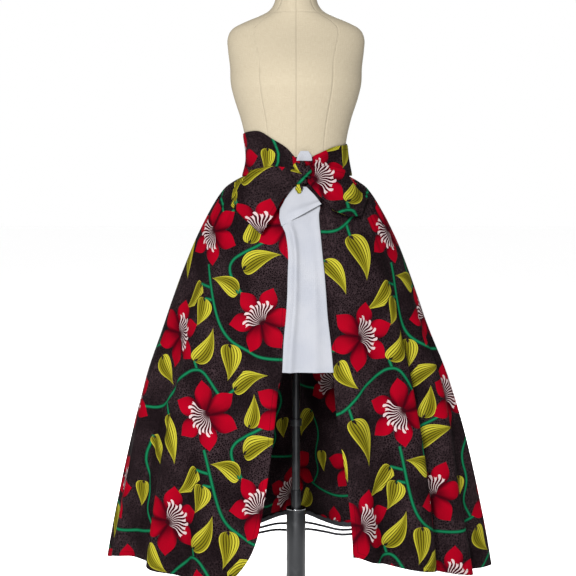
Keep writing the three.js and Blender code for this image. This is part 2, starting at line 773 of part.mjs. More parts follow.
const RING_BOTTOM = COLUMN_TOP + SEAT;
const RING_RADIUS = COLUMN_RADIUS + 1;
const RING_TOP = RING_BOTTOM + RING_THICKNESS;
add("column_ring", turnedTube(SLEEVE_RADIUS + SEAT, RING_RADIUS, RING_BOTTOM, RING_TOP), brightMetal());
add("sleeve", turnedTube(POLE_RADIUS + SEAT, SLEEVE_RADIUS, SLEEVE_BOTTOM, SLEEVE_TOP), darkMetal());

const FLANGE_TOP = TORSO_BOTTOM - SEAT;
const FLANGE_BOTTOM = FLANGE_TOP - FLANGE_THICKNESS;
const POLE_TOP = FLANGE_BOTTOM - SEAT;
const pole = [
  [0, POLE_BOTTOM],
  [POLE_RADIUS, POLE_BOTTOM],
  [POLE_RADIUS, POLE_TOP],
  [0, POLE_TOP],
];
add("pole", turned(pole), darkMetal());

const [COLLAR_BOTTOM, COLLAR_TOP] = [COLLAR_Z - COLLAR_HALF_HEIGHT, COLLAR_Z + COLLAR_HALF_HEIGHT];
add("pole_collar", turnedTube(POLE_RADIUS + SEAT, COLLAR_RADIUS, COLLAR_BOTTOM, COLLAR_TOP), darkMetal());

const flange = [
  [0, FLANGE_BOTTOM],
  [FLANGE_RADIUS, FLANGE_BOTTOM],
  [FLANGE_RADIUS, FLANGE_TOP],
  [0, FLANGE_TOP],
];
add("pole_flange", turned(flange), darkMetal());

// ---- The dress form ----
const torsoRings = TORSO_LEVELS.map((z) => ROUND.map((angle) => torsoPoint(angle, z, 0)));
add("torso", stackOfRings(torsoRings), creamLinen());

const CAP_RADIUS = 45;
const CAP_TOP = NECK_TOP + 6;
const CAP_WIDEST = NECK_TOP + 2;
const cap = [
  [0, NECK_TOP + SEAT],
  [CAP_RADIUS - 1, NECK_TOP + SEAT],
  [CAP_RADIUS, CAP_WIDEST],
  [CAP_RADIUS - 2, CAP_TOP],
  [0, CAP_TOP],
];
const neckCap = turned(cap);
neckCap.translate(0, NECK_MIDDLE_Y, 0);
add("neck_cap", neckCap, creamLinen());

export default model;
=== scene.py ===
# %% [markdown]
# # A printed skirt on a dress form
# A floor-length skirt of printed cotton hangs from the waist of a limbless dress form. It is open at the
# front and tied with a wide sash, whose bow lies over a long white tail. The form slides on its stand.
# Every piece is made here as a fine surface around the fixed frame of plain solids, so first the frame
# is loaded.

# %% Load the frame
import math
import random

import bmesh
import bpy
import numpy as np
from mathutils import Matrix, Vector


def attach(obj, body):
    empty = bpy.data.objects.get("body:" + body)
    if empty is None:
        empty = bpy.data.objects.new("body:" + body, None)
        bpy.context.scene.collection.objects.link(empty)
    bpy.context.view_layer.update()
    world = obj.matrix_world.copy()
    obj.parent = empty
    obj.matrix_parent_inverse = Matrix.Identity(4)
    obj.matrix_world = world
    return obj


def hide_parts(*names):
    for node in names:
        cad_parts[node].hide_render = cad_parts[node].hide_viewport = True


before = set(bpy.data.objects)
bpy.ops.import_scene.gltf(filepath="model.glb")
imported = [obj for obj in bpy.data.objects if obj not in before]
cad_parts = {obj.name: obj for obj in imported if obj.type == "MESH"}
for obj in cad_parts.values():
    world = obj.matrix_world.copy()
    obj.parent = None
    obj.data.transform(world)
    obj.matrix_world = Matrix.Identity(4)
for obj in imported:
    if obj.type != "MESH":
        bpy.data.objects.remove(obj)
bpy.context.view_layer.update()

# %% [markdown]
# The camera stands three metres away at waist height and looks level, so upright lines stay upright.
# A tall thing seen this way would lie low in the picture. The lens is shifted down for that, as a view
# camera does, in place of tilting it.

# %% Camera
CAMERA_PLACE = Vector((-0.0192, -3.0, 1.093))
LENS = 78.1
LENS_SHIFT_DOWN = -0.179

camera = bpy.data.objects.new("camera", bpy.data.cameras.new("camera"))
bpy.context.scene.collection.objects.link(camera)
camera.location = CAMERA_PLACE
camera.rotation_euler = (math.radians(90), 0, 0)
camera.data.lens = LENS
camera.data.shift_y = LENS_SHIFT_DOWN
bpy.context.scene.camera = camera

# %% [markdown]
# A shop photographs clothes on white. A white sky all round lights the cloth evenly, so every dye keeps its
# own colour, and a wide pale floor runs so far back that its edge is lost in the white. A large soft lamp
# beside the camera then lights what faces it, so the sides of the folds turn dark. A weaker one does the
# same for the back.

# %% Floor and light
bpy.context.scene.view_settings.view_transform = "Standard"
FLOOR_HALF_WIDTH = 30.0
SKY_STRENGTH = 1.0


def plain_finish(name, colour, roughness):
    material = bpy.data.materials.new(name)
    material.use_nodes = True
    shader = material.node_tree.nodes["Principled BSDF"]
    shader.inputs["Base Color"].default_value = (*colour, 1)
    shader.inputs["Roughness"].default_value = roughness
    shader.inputs["Specular IOR Level"].default_value = 0.1
    return material


bm = bmesh.new()
bmesh.ops.create_grid(bm, x_segments=1, y_segments=1, size=FLOOR_HALF_WIDTH)
floor = bpy.data.objects.new("floor", bpy.data.meshes.new("floor"))
bm.to_mesh(floor.data)
bm.free()
floor.data.materials.append(plain_finish("pale_floor", (0.99, 0.99, 0.99), 0.9))
bpy.context.scene.collection.objects.link(floor)

world = bpy.data.worlds.new("pale_sky")
world.use_nodes = True
world.node_tree.nodes["Background"].inputs["Color"].default_value = (1, 1, 1, 1)
world.node_tree.nodes["Background"].inputs["Strength"].default_value = SKY_STRENGTH
bpy.context.scene.world = world


def soft_lamp(name, place, target, size, watts):
    lamp = bpy.data.objects.new(name, bpy.data.lights.new(name, "AREA"))
    lamp.data.shape = "DISK"
    lamp.data.size = size
    lamp.data.energy = watts
    lamp.location = place
    lamp.rotation_euler = (Vector(target) - Vector(place)).to_track_quat("-Z", "Y").to_euler()
    bpy.context.scene.collection.objects.link(lamp)


soft_lamp("front", place=(-0.7, -3.3, 1.9), target=(0, 0, 0.7), size=0.9, watts=330)
soft_lamp("back", place=(0.3, 3.1, 2.2), target=(0, 0, 0.8), size=1.2, watts=190)

# %% [markdown]
# The cloth's shapes are worked out in millimetres, as a pattern maker measures. A short table says how
# the outline goes, and a smooth curve runs through its rows. The same curves shape every piece that lies
# on the skirt, so that nothing cuts into what is under it.

# %% Tables and smooth curves
MM = 0.001


def table(columns, *rows):
    """Rows under named columns. Each column comes back as one array."""
    return {name: np.array(values, float) for name, values in zip(columns.split(), zip(*rows))}


def smooth_at(rows, key, column, value):
    """The smooth value of one column of a table at a value of another."""
    keys, values = rows[key], rows[column]
    if keys[0] > keys[-1]:
        keys, values = keys[::-1], values[::-1]
    slopes = np.gradient(values)
    slopes[1:-1] = (values[2:] - values[:-2]) / (keys[2:] - keys[:-2])
    slopes[0] = (values[1] - values[0]) / (keys[1] - keys[0])
    slopes[-1] = (values[-1] - values[-2]) / (keys[-1] - keys[-2])
    at = np.clip(value, keys[0], keys[-1])
    i = np.clip(np.searchsorted(keys, at, side="right") - 1, 0, len(keys) - 2)
    width = keys[i + 1] - keys[i]
    s = (at - keys[i]) / width
    ends = (2 * s**3 - 3 * s**2 + 1) * values[i] + (3 * s**2 - 2 * s**3) * values[i + 1]
    bends = (s**3 - 2 * s**2 + s) * slopes[i] + (s**3 - s**2) * slopes[i + 1]
    return ends + bends * width


def smooth_step(low, high, value):
    """From 0 at low to 1 at high, with a soft start and end."""
    share = np.clip((value - low) / (high - low), 0, 1)
    return share * share * (3 - 2 * share)


def mix(a, b, share):
    return a + (b - a) * share


def bell(distance, spread):
    """1 in the middle, falling softly to 0 on both sides."""
    return np.exp(-0.5 * (distance / spread) ** 2)


# %% [markdown]
# A dress form is a padded shell covered in tight cream linen. Oval sections up its height give its shape:
# half the width, half the depth, and how far the middle lies from the pole.

# %% The dress form's surface
TORSO_BOTTOM = 930
NECK_TOP = 1580
TORSO = table(
    "z half_width half_depth middle_y",
    (TORSO_BOTTOM, 120, 88, 0),
    (945, 150, 108, 0),
    (965, 165, 119, 0),
    (1000, 167, 121, 0),
    (1050, 153, 112, 0),
    (1100, 131, 98, 0),
    (1150, 117, 87, 0),
    (1200, 121, 90, -1),
    (1250, 132, 100, -4),
    (1300, 148, 113, -8),
    (1335, 156, 119, -10),
    (1375, 158, 113, -6),
    (1415, 163, 98, 0),
    (1445, 164, 84, 4),
    (1468, 152, 74, 6),
    (1484, 122, 68, 6),
    (1496, 92, 64, 5),
    (1508, 68, 60, 3),
    (1525, 54, 55, 0),
    (1545, 49, 51, -2),
    (NECK_TOP, 48, 50, -4),
)


def torso_point(angle, z, out):
    """A point at an angle from the front and a level, moved out from the form."""
    a = np.radians(angle)
    x = (smooth_at(TORSO, "z", "half_width", z) + out) * np.sin(a)
    y = smooth_at(TORSO, "z", "middle_y", z) - (smooth_at(TORSO, "z", "half_depth", z) + out) * np.cos(a)
    return np.stack([x, y, z + 0 * x], axis=-1)


# %% [markdown]
# The skirt flares from the waist to a hem three times as wide. Its large folds stand or sink along lines
# that run from the waist to the hem: each row below is one of them, as a ridge or, below zero, a trough.
# The deepest one is a ridge at the centre back, which stands out behind the pole.

# %% The skirt's outline and its large folds
CLOTH = 2.0  # the room that one layer takes up
GAP = 0.4  # the air between two layers
SKIRT_TOP = 1113.4
HEM_LEVEL = 200
WAIST_OUT = GAP + CLOTH
SKIRT = table(
    "z half_width front_depth back_depth",
    (
        SKIRT_TOP,
        smooth_at(TORSO, "z", "half_width", SKIRT_TOP) + WAIST_OUT,
        smooth_at(TORSO, "z", "half_depth", SKIRT_TOP) + WAIST_OUT,
        smooth_at(TORSO, "z", "half_depth", SKIRT_TOP) + WAIST_OUT,
    ),
    (1103, 148, 106, 110),
    (1086, 171, 118, 127),
    (1047, 198, 131, 146),
    (971, 237, 153, 172),
    (894, 269, 173, 193),
    (817, 297, 191, 212),
    (740, 323, 208, 229),
    (663, 350, 224, 245),
    (587, 372, 238, 258),
    (510, 393, 251, 269),
    (433, 411, 262, 278),
    (356, 427, 272, 285),
    (279, 442, 280, 290),
    (190, 457, 288, 294),
)
FOLDS = table(
    "top_angle hem_angle spread depth start full",
    (-20, -8, 5, 18, 0.1, 0.5),
    (-27, -19, 4.5, -18, 0.1, 0.45),
    (-37, -26, 5.5, 24, 0, 0.3),
    (-42, -34.5, 3.5, -30, 0.55, 0.95),
    (-47, -43, 6, 30, 0.05, 0.45),
    (-63, -54, 6, -20, 0.05, 0.4),
    (-73, -65, 6, 20, 0.2, 0.6),
    (-82, -77, 4, -20, 0.6, 0.9),
    (26, 19, 5, 22, 0, 0.3),
    (34, 30, 4, -24, 0.05, 0.8),
    (45, 40, 6, 28, 0, 0.3),
    (57, 50, 4.5, -34, 0.1, 0.4),
    (64, 60, 5, 24, 0.25, 0.55),
    (71, 67.5, 4, -26, 0.5, 0.8),
    (80, 77, 5, 18, 0.3, 0.6),
    (180, 180, 6.2, 115, 0.02, 0.95),
    (-166, -165, 5, -12, 0.2, 0.7),
    (-150, -151, 7, 28, 0.05, 0.5),
    (-136, -138, 5, -28, 0.1, 0.6),
    (-121, -124, 7, 26, 0, 0.4),
    (-105, -108, 5, -22, 0.3, 0.8),
    (165, 164, 5, -14, 0.3, 0.8),
    (147, 148, 6, 30, 0, 0.4),
    (131, 134, 5, -26, 0.1, 0.6),
    (117, 120, 7, 24, 0.05, 0.5),
    (102, 104, 4.5, -20, 0.4, 0.8),
)
FOLD_GROWTH = 0.7  # a fold's depth grows with this power of the share of the way down


def turn_between(angle, middle):
    return (angle - middle + 180) % 360 - 180


def large_folds(angle, z):
    down = np.clip((SKIRT_TOP - z) / (SKIRT_TOP - HEM_LEVEL), 0, 1)
    depth = 0 * down
    for top_angle, hem_angle, spread, most, start, full in zip(*FOLDS.values()):
        turn = turn_between(angle, mix(top_angle, hem_angle, down))
        depth = depth + most * down**FOLD_GROWTH * smooth_step(start, full, down) * bell(turn, spread)
    return depth


# %% [markdown]
# Under the waistband the cloth is gathered: dozens of short troughs, close together, each of its own
# length and depth, which open out into the large folds. Lower down a few long soft troughs break up the
# ridges. Troughs only ever sink below the outer face, so the pieces that lie on the skirt stay clear.

# %% Gathers and soft troughs
shuffled = random.Random(11)
GATHER_SPACING = 5.2  # degrees between gathers, roughly
gathers = []
angle = -180.0
while angle < 180:
    angle += GATHER_SPACING * shuffled.uniform(0.6, 1.5)
    spread, depth, length = shuffled.uniform(1.1, 1.9), shuffled.uniform(2.0, 5.0), shuffled.uniform(60, 260)
    gathers.append((angle, spread, depth, length))

soft_troughs = []
angle = -180.0
while angle < 180:
    angle += shuffled.uniform(7, 17)
    start, spread, depth = shuffled.uniform(0.15, 0.6), shuffled.uniform(1.6, 3.2), shuffled.uniform(5, 12)
    soft_troughs.append((angle, spread, depth, start))

GATHER_FULL_AT = 14  # a gather has its whole depth this far below the band
GATHER_FADES_FROM = 0.35  # share of its length
TROUGH_START = 0.25  # a soft trough deepens over this share of the way down
TROUGH_DRIFT = 3.0  # degrees that a trough wanders to each side
TROUGH_WANDER = 2.2


def small_folds(angle, z):
    drop = SKIRT_TOP - z
    share = drop / (SKIRT_TOP - HEM_LEVEL)
    total = 0 * drop
    for middle, spread, most, length in gathers:
        fade = 1 - smooth_step(GATHER_FADES_FROM * length, length, drop)
        window = smooth_step(0, GATHER_FULL_AT, drop) * fade
        total = total - most * window * bell(turn_between(angle, middle), spread)
    for middle, spread, most, start in soft_troughs:
        window = smooth_step(start, start + TROUGH_START, share)
        drift = middle + TROUGH_DRIFT * np.sin(TROUGH_WANDER * share + middle)
        total = total - most * window * bell(turn_between(angle, drift), spread)
    return total


def skirt_point(angle, z, with_small_folds=False):
    """A point of the skirt's outer face, at an angle from the front and a level."""
    a = np.radians(angle)
    fold = large_folds(angle, z)
    if with_small_folds:
        fold = fold + small_folds(angle, z)
    front = smooth_at(SKIRT, "z", "front_depth", z)
    back = smooth_at(SKIRT, "z", "back_depth", z)
    wide = smooth_at(SKIRT, "z", "half_width", z) + fold
    deep = np.where(np.cos(a) > 0, front, back) + fold
    return np.stack([wide * np.sin(a), -deep * np.cos(a), z + 0 * wide], axis=-1)


print(len(gathers), "gathers and", len(soft_troughs), "soft troughs")

# %% [markdown]
# The front opening's edges and the hem are curves of their own. A panel lies between two edges, and a
# place on it is a share across and a share down.

# %% Where the four panels lie
LEFT_EDGE = table(
    "z x",
    (1120, -8),
    (900, -17),
    (690, -28),
    (640, -40),
    (512, -54),
    (360, -79),
    (291, -99),
    (239, -131),
    (193, -177),
)
RIGHT_EDGE = table("z x", (1120, 14), (900, 52), (690, 79), (580, 88), (485, 103), (360, 118), (279, 123))
HEM = table(
    "angle z",
    (-180, 200),
    (-90, 203),
    (-75, 230),
    (-60, 243),
    (-45, 235),
    (-35, 215),
    (-23, 193),
    (15, 281),
    (22, 266),
    (32, 244),
    (42, 232),
    (55, 208),
    (70, 201),
    (90, 198),
    (180, 200),
)
SEAM_HALF_GAP = 0.2
MEAN_RADIUS_SHARE = 0.8  # the skirt's mean radius, as a share of its half width
CLOSER_ROUNDS = 6


def front_angle(x, z):
    """The angle at which the skirt's outer face has this x, on the front. The folds move that face, so each
    round starts from the angle of the last one and comes closer."""
    angle = 0 * (x + z)
    for _ in range(CLOSER_ROUNDS):
        wide = smooth_at(SKIRT, "z", "half_width", z) + large_folds(angle, z)
        angle = np.degrees(np.arcsin(np.clip(x / wide, -1, 1)))
    return angle


def opening(edge):
    """The angle of an edge of the front opening, at any level."""
    return lambda z: front_angle(smooth_at(edge, "z", "x", z), z)


def seam(angle, side):
    """A seam's angle, moved by half the gap between two panels to one side."""
    radius = lambda z: MEAN_RADIUS_SHARE * smooth_at(SKIRT, "z", "half_width", z)
    return lambda z: angle + side * np.degrees(SEAM_HALF_GAP / radius(z))


PANELS = {
    "skirt_front_left": (seam(-90, 1), opening(LEFT_EDGE)),
    "skirt_front_right": (opening(RIGHT_EDGE), seam(90, -1)),
    "skirt_back_right": (seam(90, 1), seam(180, -1)),
    "skirt_back_left": (seam(-180, 1), seam(-90, -1)),
}


def corner_angle(edge):
    """The angle at which a panel's edge meets the hem."""
    return edge(smooth_at(HEM, "angle", "z", edge(HEM_LEVEL)))


def panel_place(panel, across, down):
    """The angle and level of a place on a panel."""
    start, end = PANELS[panel]
    hem = smooth_at(HEM, "angle", "z", mix(corner_angle(start), corner_angle(end), across))
    z = mix(SKIRT_TOP, hem, down)
    return mix(start(z), end(z), across), z


# %% [markdown]
# What lies on the front, such as the tail and the bow, has to know how far the cloth under it reaches
# towards the viewer. Below the waist that is the skirt, and above it the sash, which bulges near the knot.

# %% How far the front reaches
SASH_OUT = GAP + CLOTH + GAP
SASH_HALF_WIDTH = 130
SASH_SHADOW = 4  # more than this below the sash, only the skirt counts
SASH = table(
    "angle top bottom bulge",
    (-180, 1205, 1115, 0),
    (-90, 1214, 1115, 0),
    (-60, 1219, 1115, 0),
    (-42, 1218, 1115, 0),
    (-27, 1201, 1117, 2),
    (-11, 1180, 1122, 5),
    (5, 1148, 1119, 8),
    (23, 1164, 1121, 6),
    (46, 1182, 1116, 5),
    (72, 1188, 1115, 7),
    (90, 1190, 1115, 7),
    (125, 1199, 1115, 2),
    (180, 1205, 1115, 0),
)
SASH_BOTTOM = SASH["bottom"].min()


def front_reach(x, z):
    """How far the cloth at the front stands out towards the viewer."""
    level = np.minimum(z, SKIRT_TOP)
    skirt = -skirt_point(front_angle(x, level), level)[..., 1]
    bulge = smooth_at(SASH, "angle", "bulge", np.degrees(np.arcsin(np.clip(x / SASH_HALF_WIDTH, -1, 1))))
    out = SASH_OUT + CLOTH + bulge
    across = np.clip(x / (smooth_at(TORSO, "z", "half_width", z) + out), -1, 1)
    deep = smooth_at(TORSO, "z", "half_depth", z) + out
    sash = deep * np.sqrt(1 - across**2) - smooth_at(TORSO, "z", "middle_y", z)
    above = np.where(z < SASH_BOTTOM, np.maximum(skirt, sash), sash)
    return np.where(z < SASH_BOTTOM - SASH_SHADOW, skirt, above)


# %% [markdown]
# Colours are mixed as paint is: a printer names them, and Blender counts light, so each is turned
# from the one to the other. The eye sees the lit side, which the lamps brighten, so that much is taken off
# again. The small helper below adds nodes to a material and joins them up.

# %% Colours and node helper
LIT = 3.75  # about how many times brighter than under the sky alone a lit face is


def paint(red, green, blue):
    """A colour as Blender's light values, from the 0 to 255 values that screens show of its lit side."""
    channels = [channel / 255 for channel in (red, green, blue)]
    light = [c / 12.92 if c <= 0.04045 else ((c + 0.055) / 1.055) ** 2.4 for c in channels]
    return tuple(c / LIT for c in light) + (1,)


MIX_SOCKETS = {"RGBA": (6, 7, 2), "VECTOR": (4, 5, 1)}  # a mix node's two inputs and output, for each kind


class Wires:
    """Adds nodes to one material. Each call gives back the new node's output, ready to be joined."""

    def __init__(self, name):
        self.material = bpy.data.materials.new(name)
        self.material.use_nodes = True
        self.tree = self.material.node_tree
        self.shader = self.tree.nodes["Principled BSDF"]

    def add(self, kind, inputs=(), output=0, **settings):
        node = self.tree.nodes.new(kind)
        for setting, value in settings.items():
            setattr(node, setting, value)
        for key, value in dict(inputs).items():
            self.join(value, node.inputs[key])
        return node.outputs[output]

    def join(self, value, socket):
        if isinstance(value, bpy.types.NodeSocket):
            self.tree.links.new(value, socket)
        else:
            socket.default_value = value

    def sum(self, operation, *values):
        return self.add("ShaderNodeMath", enumerate(values), operation=operation)

    def both(self, first, second):
        return self.sum("MULTIPLY", first, second)

    def line(self, value, slope, start):
        """A straight line: the start, and the slope times the value on top."""
        return self.sum("MULTIPLY_ADD", value, slope, start)

    def vector(self, operation, *values, output=0):
        return self.add("ShaderNodeVectorMath", enumerate(values), output, operation=operation)

    def parts(self, vector):
        node = self.tree.nodes.new("ShaderNodeSeparateXYZ")
        self.join(vector, node.inputs[0])
        return node.outputs[0], node.outputs[1], node.outputs[2]

    def blend(self, share, below, above, kind="RGBA"):
        """One colour over another, or one vector."""
        first, second, output = MIX_SOCKETS[kind]
        inputs = {"Factor": share, first: below, second: above}
        return self.add("ShaderNodeMix", inputs, output, data_type=kind)

    def ramp(self, value, low, high):
        """From 0 at low to 1 at high, smoothly."""
        inputs = {"Value": value, "From Min": low, "From Max": high}
        return self.add("ShaderNodeMapRange", inputs, interpolation_type="SMOOTHSTEP")

    def noise(self, vector, scale, detail=2.0):
        inputs = {"Vector": vector, "Scale": scale, "Detail": detail}
        return self.add("ShaderNodeTexNoise", inputs)

    def weave(self, vector, scale):
        """Threads over and under each other, as a height from 0 to 1."""
        heights = []
        for direction in ("X", "Y"):
            inputs = {"Vector": vector, "Scale": scale}
            heights.append(self.add("ShaderNodeTexWave", inputs, 1, bands_direction=direction))
        return self.sum("MAXIMUM", *heights)

    def bump(self, height, strength, distance, under=None):
        inputs = {"Height": height, "Strength": strength, "Distance": distance}
        if under is not None:
            inputs["Normal"] = under
        return self.add("ShaderNodeBump", inputs)

    def finish(self, roughness, **shader_inputs):
        self.join(roughness, self.shader.inputs["Roughness"])
        for name, value in shader_inputs.items():
            self.join(value, self.shader.inputs[name.replace("_", " ")])
        return self.material


# %% [markdown]
# ## The print
# The cloth is a waxed cotton print: large red flowers with fans of white stamens, yellow leaves and green
# vines on a nearly black ground. Such a print is one small repeat, over and over. An image could hold it,
# but a drawing made of nodes stays sharp at any distance. Each motif has a place in the repeat. The
# cloth's own measure, in metres, is wrapped round that place, turned and scaled so that the motif always
# runs from -1 to 1, and the nearest motif is kept. Then one leaf, one vine and one flower are drawn.

# %% The repeat, charted in millimetres
REPEAT = (460, 412)
FLOWER_RADIUS = 79
FLOWERS = table(
    "x y fan",
    (0, 0, 218),
    (133, 214, 128),
    (-99, 173, 20),
    (196, 18, 30),
)
LEAVES = table(
    "base_x base_y tip_x tip_y width curve",
    (90, -84, 182, -50, 46, 0.5),
    (78, 274, 12, 306, 40, -0.45),
    (-21, 292, -85, 233, 42, 0.45),
    (-7, 260, -27, 196, 44, 0.3),
    (-30, 118, 18, 195, 44, -0.5),
    (55, 158, 50, 76, 46, 0.3),
    (64, 56, 152, 92, 42, 0.55),
    (104, -24, 118, 52, 40, -0.3),
    (-124, -9, -82, -114, 50, 0.5),
    (-156, 118, -108, 58, 40, -0.45),
    (-186, 347, -136, 268, 40, 0.45),
    (240, 242, 231, 184, 38, 0.15),
)
VINE_WIDTH = 9
VINE_ROOM = 32  # how far to each side a stroke of vine may bow
VINE_PIECE = 38  # the longest piece of vine that one bow can follow
VINES = [
    [(-2, 336), (39, 193), (99, 143), (182, 127), (282, 140), (361, 173)],
    [(143, 393), (60, 336), (106, 240)],
    [(-215, 0), (-150, 7), (-80, 70), (-16, 99), (35, 41)],
]
STEMS = [
    [(274, 347), (250, 290), (267, 228), (260, 182), (286, 141)],
    [(14, 284), (-21, 292)],
    [(20, 256), (-7, 260)],
    [(72, 302), (78, 274)],
    [(-134, 20), (-124, -9)],
    [(-22, 98), (-30, 118)],
    [(44, 40), (64, 56)],
]


def nearest_motif(wires, cloth, motifs):
    """The nearest motif's own coordinates, and how far from its middle they are.
    A motif is its middle, direction, half sizes and one number that rides along as z."""
    repeat = [side * MM for side in REPEAT]
    chosen = nearest = None
    for (x, y), direction, (half_length, half_width), carried in motifs:
        high = (x * MM + repeat[0] / 2, y * MM + repeat[1] / 2, 0)
        low = (x * MM - repeat[0] / 2, y * MM - repeat[1] / 2, 0)
        wrapped = wires.vector("WRAP", cloth, high, low)
        inputs = {
            "Vector": wrapped,
            "Location": (x * MM, y * MM, -carried),
            "Rotation": (0, 0, direction),
            "Scale": (half_length * MM, half_width * MM, 1),
        }
        own = wires.add("ShaderNodeMapping", inputs, vector_type="TEXTURE")
        far = wires.vector("LENGTH", own, output=1)
        if chosen is None:
            chosen, nearest = own, far
            continue
        chosen = wires.blend(wires.sum("LESS_THAN", far, nearest), chosen, own, kind="VECTOR")
        nearest = wires.sum("MINIMUM", far, nearest)
    return chosen, nearest


def stroke(from_x, from_y, to_x, to_y, half_width, carried):
    """A motif that runs from one point to another."""
    middle = ((from_x + to_x) / 2, (from_y + to_y) / 2)
    direction = math.atan2(to_y - from_y, to_x - from_x)
    return middle, direction, (math.hypot(to_x - from_x, to_y - from_y) / 2, half_width), carried


# %% [markdown]
# A vine runs through the points of its line in one smooth sweep. A stroke of the print can only follow one
# bow, so the sweep is cut into short pieces, and each piece keeps how far its middle bows to the side.

# %% Vines as short bows
def vine_strokes(lines):
    """The short bowed strokes that follow the sweep through each line's points."""
    strokes = []
    for line in lines:
        points = np.array(line, float)
        ahead = np.gradient(points, axis=0)
        for start, end, leave, arrive in zip(points, points[1:], ahead, ahead[1:]):
            steps = math.ceil(np.linalg.norm(end - start) / VINE_PIECE)
            s = np.linspace(0, 1, 2 * steps + 1)[:, None]
            ends = (2 * s**3 - 3 * s**2 + 1) * start + (3 * s**2 - 2 * s**3) * end
            sweep = ends + (s**3 - 2 * s**2 + s) * leave + (s**3 - s**2) * arrive
            for low, middle, high in zip(sweep[:-2:2], sweep[1:-1:2], sweep[2::2]):
                aside = middle - (low + high) / 2
                chord = (high - low) / np.linalg.norm(high - low)
                bend = float(chord[0] * aside[1] - chord[1] * aside[0])
                strokes.append(stroke(*map(float, (*low, *high)), VINE_ROOM, bend * MM))
    return strokes


print(len(vine_strokes(VINES)), "pieces of vine and", len(vine_strokes(STEMS)), "of stem")

# %% [markdown]
# The ground is not plain black: wax cracks in the dye bath and leaves a fine web of paler lines, which is
# stronger where the waxed cloth was handled. The vines are drawn first, then the leaves over them, then the
# flowers. The stems that leave a vine are drawn in a turn of their own, because only the nearest stroke of
# one turn shows, and a stem would cut the vine there.

# %% Ground and vines
GROUND = paint(19, 11, 14)
GROUND_WEB = paint(77, 61, 65)
VINE_DARK = paint(0, 46, 30)
VINE_LIGHT = paint(26, 134, 88)
CRACKS_PER_METRE = 215.0
CRACK_WIDTH = 0.16  # share of the room between two cracks
VINE_OVERLAP = 1.06  # each stroke runs this far, so that it joins the next one


def draw_ground(wires, cloth):
    inputs = {"Vector": cloth, "Scale": CRACKS_PER_METRE}
    web = wires.add("ShaderNodeTexVoronoi", inputs, feature="DISTANCE_TO_EDGE")
    lines = wires.ramp(web, low=CRACK_WIDTH, high=0.02)
    handled = wires.ramp(wires.noise(cloth, scale=9.0, detail=1.0), low=0.35, high=0.65)
    share = wires.both(lines, wires.line(handled, slope=0.6, start=0.2))
    return wires.blend(share, GROUND, GROUND_WEB)


def draw_vines(wires, cloth, lines, below):
    own, _ = nearest_motif(wires, cloth, vine_strokes(lines))
    x, y, bend = wires.parts(own)
    curve = wires.both(bend, wires.sum("SUBTRACT", 1.0, wires.both(x, x)))
    aside = wires.sum("ABSOLUTE", wires.line(y, VINE_ROOM * MM, wires.both(curve, -1.0)))
    half_width = VINE_WIDTH / 2
    inside = wires.ramp(aside, low=half_width * MM, high=(half_width - 1) * MM)
    within = wires.sum("LESS_THAN", wires.sum("ABSOLUTE", x), VINE_OVERLAP)
    light = wires.ramp(aside, low=half_width * MM, high=0.0)
    return wires.blend(wires.both(inside, within), below, wires.blend(light, VINE_DARK, VINE_LIGHT))


# %% [markdown]
# A leaf is a bowed spine with an outline that swells fast from a notched base and narrows slowly to the
# tip. Its veins run along the leaf: they follow lines at the same share of the way from the spine to the
# edge. The rim is the brightest yellow, and the spine lies in shade.

# %% Leaves
LEAF_SHADE = paint(56, 48, 8)
LEAF_MIDDLE = paint(152, 144, 30)
LEAF_LIGHT = paint(216, 207, 62)
VEINS = 3.5  # on each side of the spine
NOTCH = 0.13  # share of the leaf's length
NOTCH_SLANT = 0.4
SWELL = 0.42  # the lower, the faster a leaf widens from its base
NARROW = 1.35  # the higher, the more slender its tip
FULL_WIDTH = 2.68  # brings the widest place to the half width in the chart
ALMOST_NOTHING = 0.0001  # a power needs more than 0


def draw_leaves(wires, cloth, below):
    leaves = [stroke(*row[:4], row[4] / 2, row[5]) for row in zip(*LEAVES.values())]
    own, _ = nearest_motif(wires, cloth, leaves)
    x, y, curve = wires.parts(own)
    spine = wires.both(curve, wires.sum("SUBTRACT", 1.0, wires.both(x, x)))
    aside = wires.sum("SUBTRACT", y, spine)
    along = wires.line(x, slope=0.5, start=0.5)
    swell = wires.sum("POWER", wires.sum("MAXIMUM", along, ALMOST_NOTHING), SWELL)
    to_tip = wires.sum("SUBTRACT", 1.0, along)
    narrow = wires.sum("POWER", wires.sum("MAXIMUM", to_tip, ALMOST_NOTHING), NARROW)
    outline = wires.both(wires.both(swell, narrow), FULL_WIDTH)
    share = wires.sum("DIVIDE", wires.sum("ABSOLUTE", aside), outline)
    within = wires.sum("LESS_THAN", wires.sum("ABSOLUTE", x), 1.0)
    inside = wires.both(wires.sum("LESS_THAN", share, 1.0), within)
    past_notch = wires.sum("GREATER_THAN", wires.line(share, NOTCH_SLANT, along), NOTCH)
    veins = wires.sum("COSINE", wires.both(share, 2 * math.pi * VEINS))
    between_veins = wires.ramp(veins, low=0.95, high=0.0)
    lit_side = wires.ramp(aside, low=-0.6, high=0.5)
    rim = wires.ramp(share, low=0.8, high=0.9)
    glow = wires.line(lit_side, 0.55, wires.both(share, 0.45))
    some = wires.both(between_veins, wires.ramp(glow, low=-0.1, high=0.4))
    most = wires.both(between_veins, wires.ramp(glow, low=0.3, high=0.8))
    colour = wires.blend(most, wires.blend(some, LEAF_SHADE, LEAF_MIDDLE), LEAF_LIGHT)
    colour = wires.blend(wires.both(rim, 0.8), colour, LEAF_LIGHT)
    return wires.blend(wires.both(inside, past_notch), below, colour)


# %% [markdown]
# A flower is six broad pointed petals round its middle. The angle round the middle is cut into six, and
# the petal's reach falls from its tip to the gap beside it. A petal is darker towards the middle, beside a
# gap and on one side.

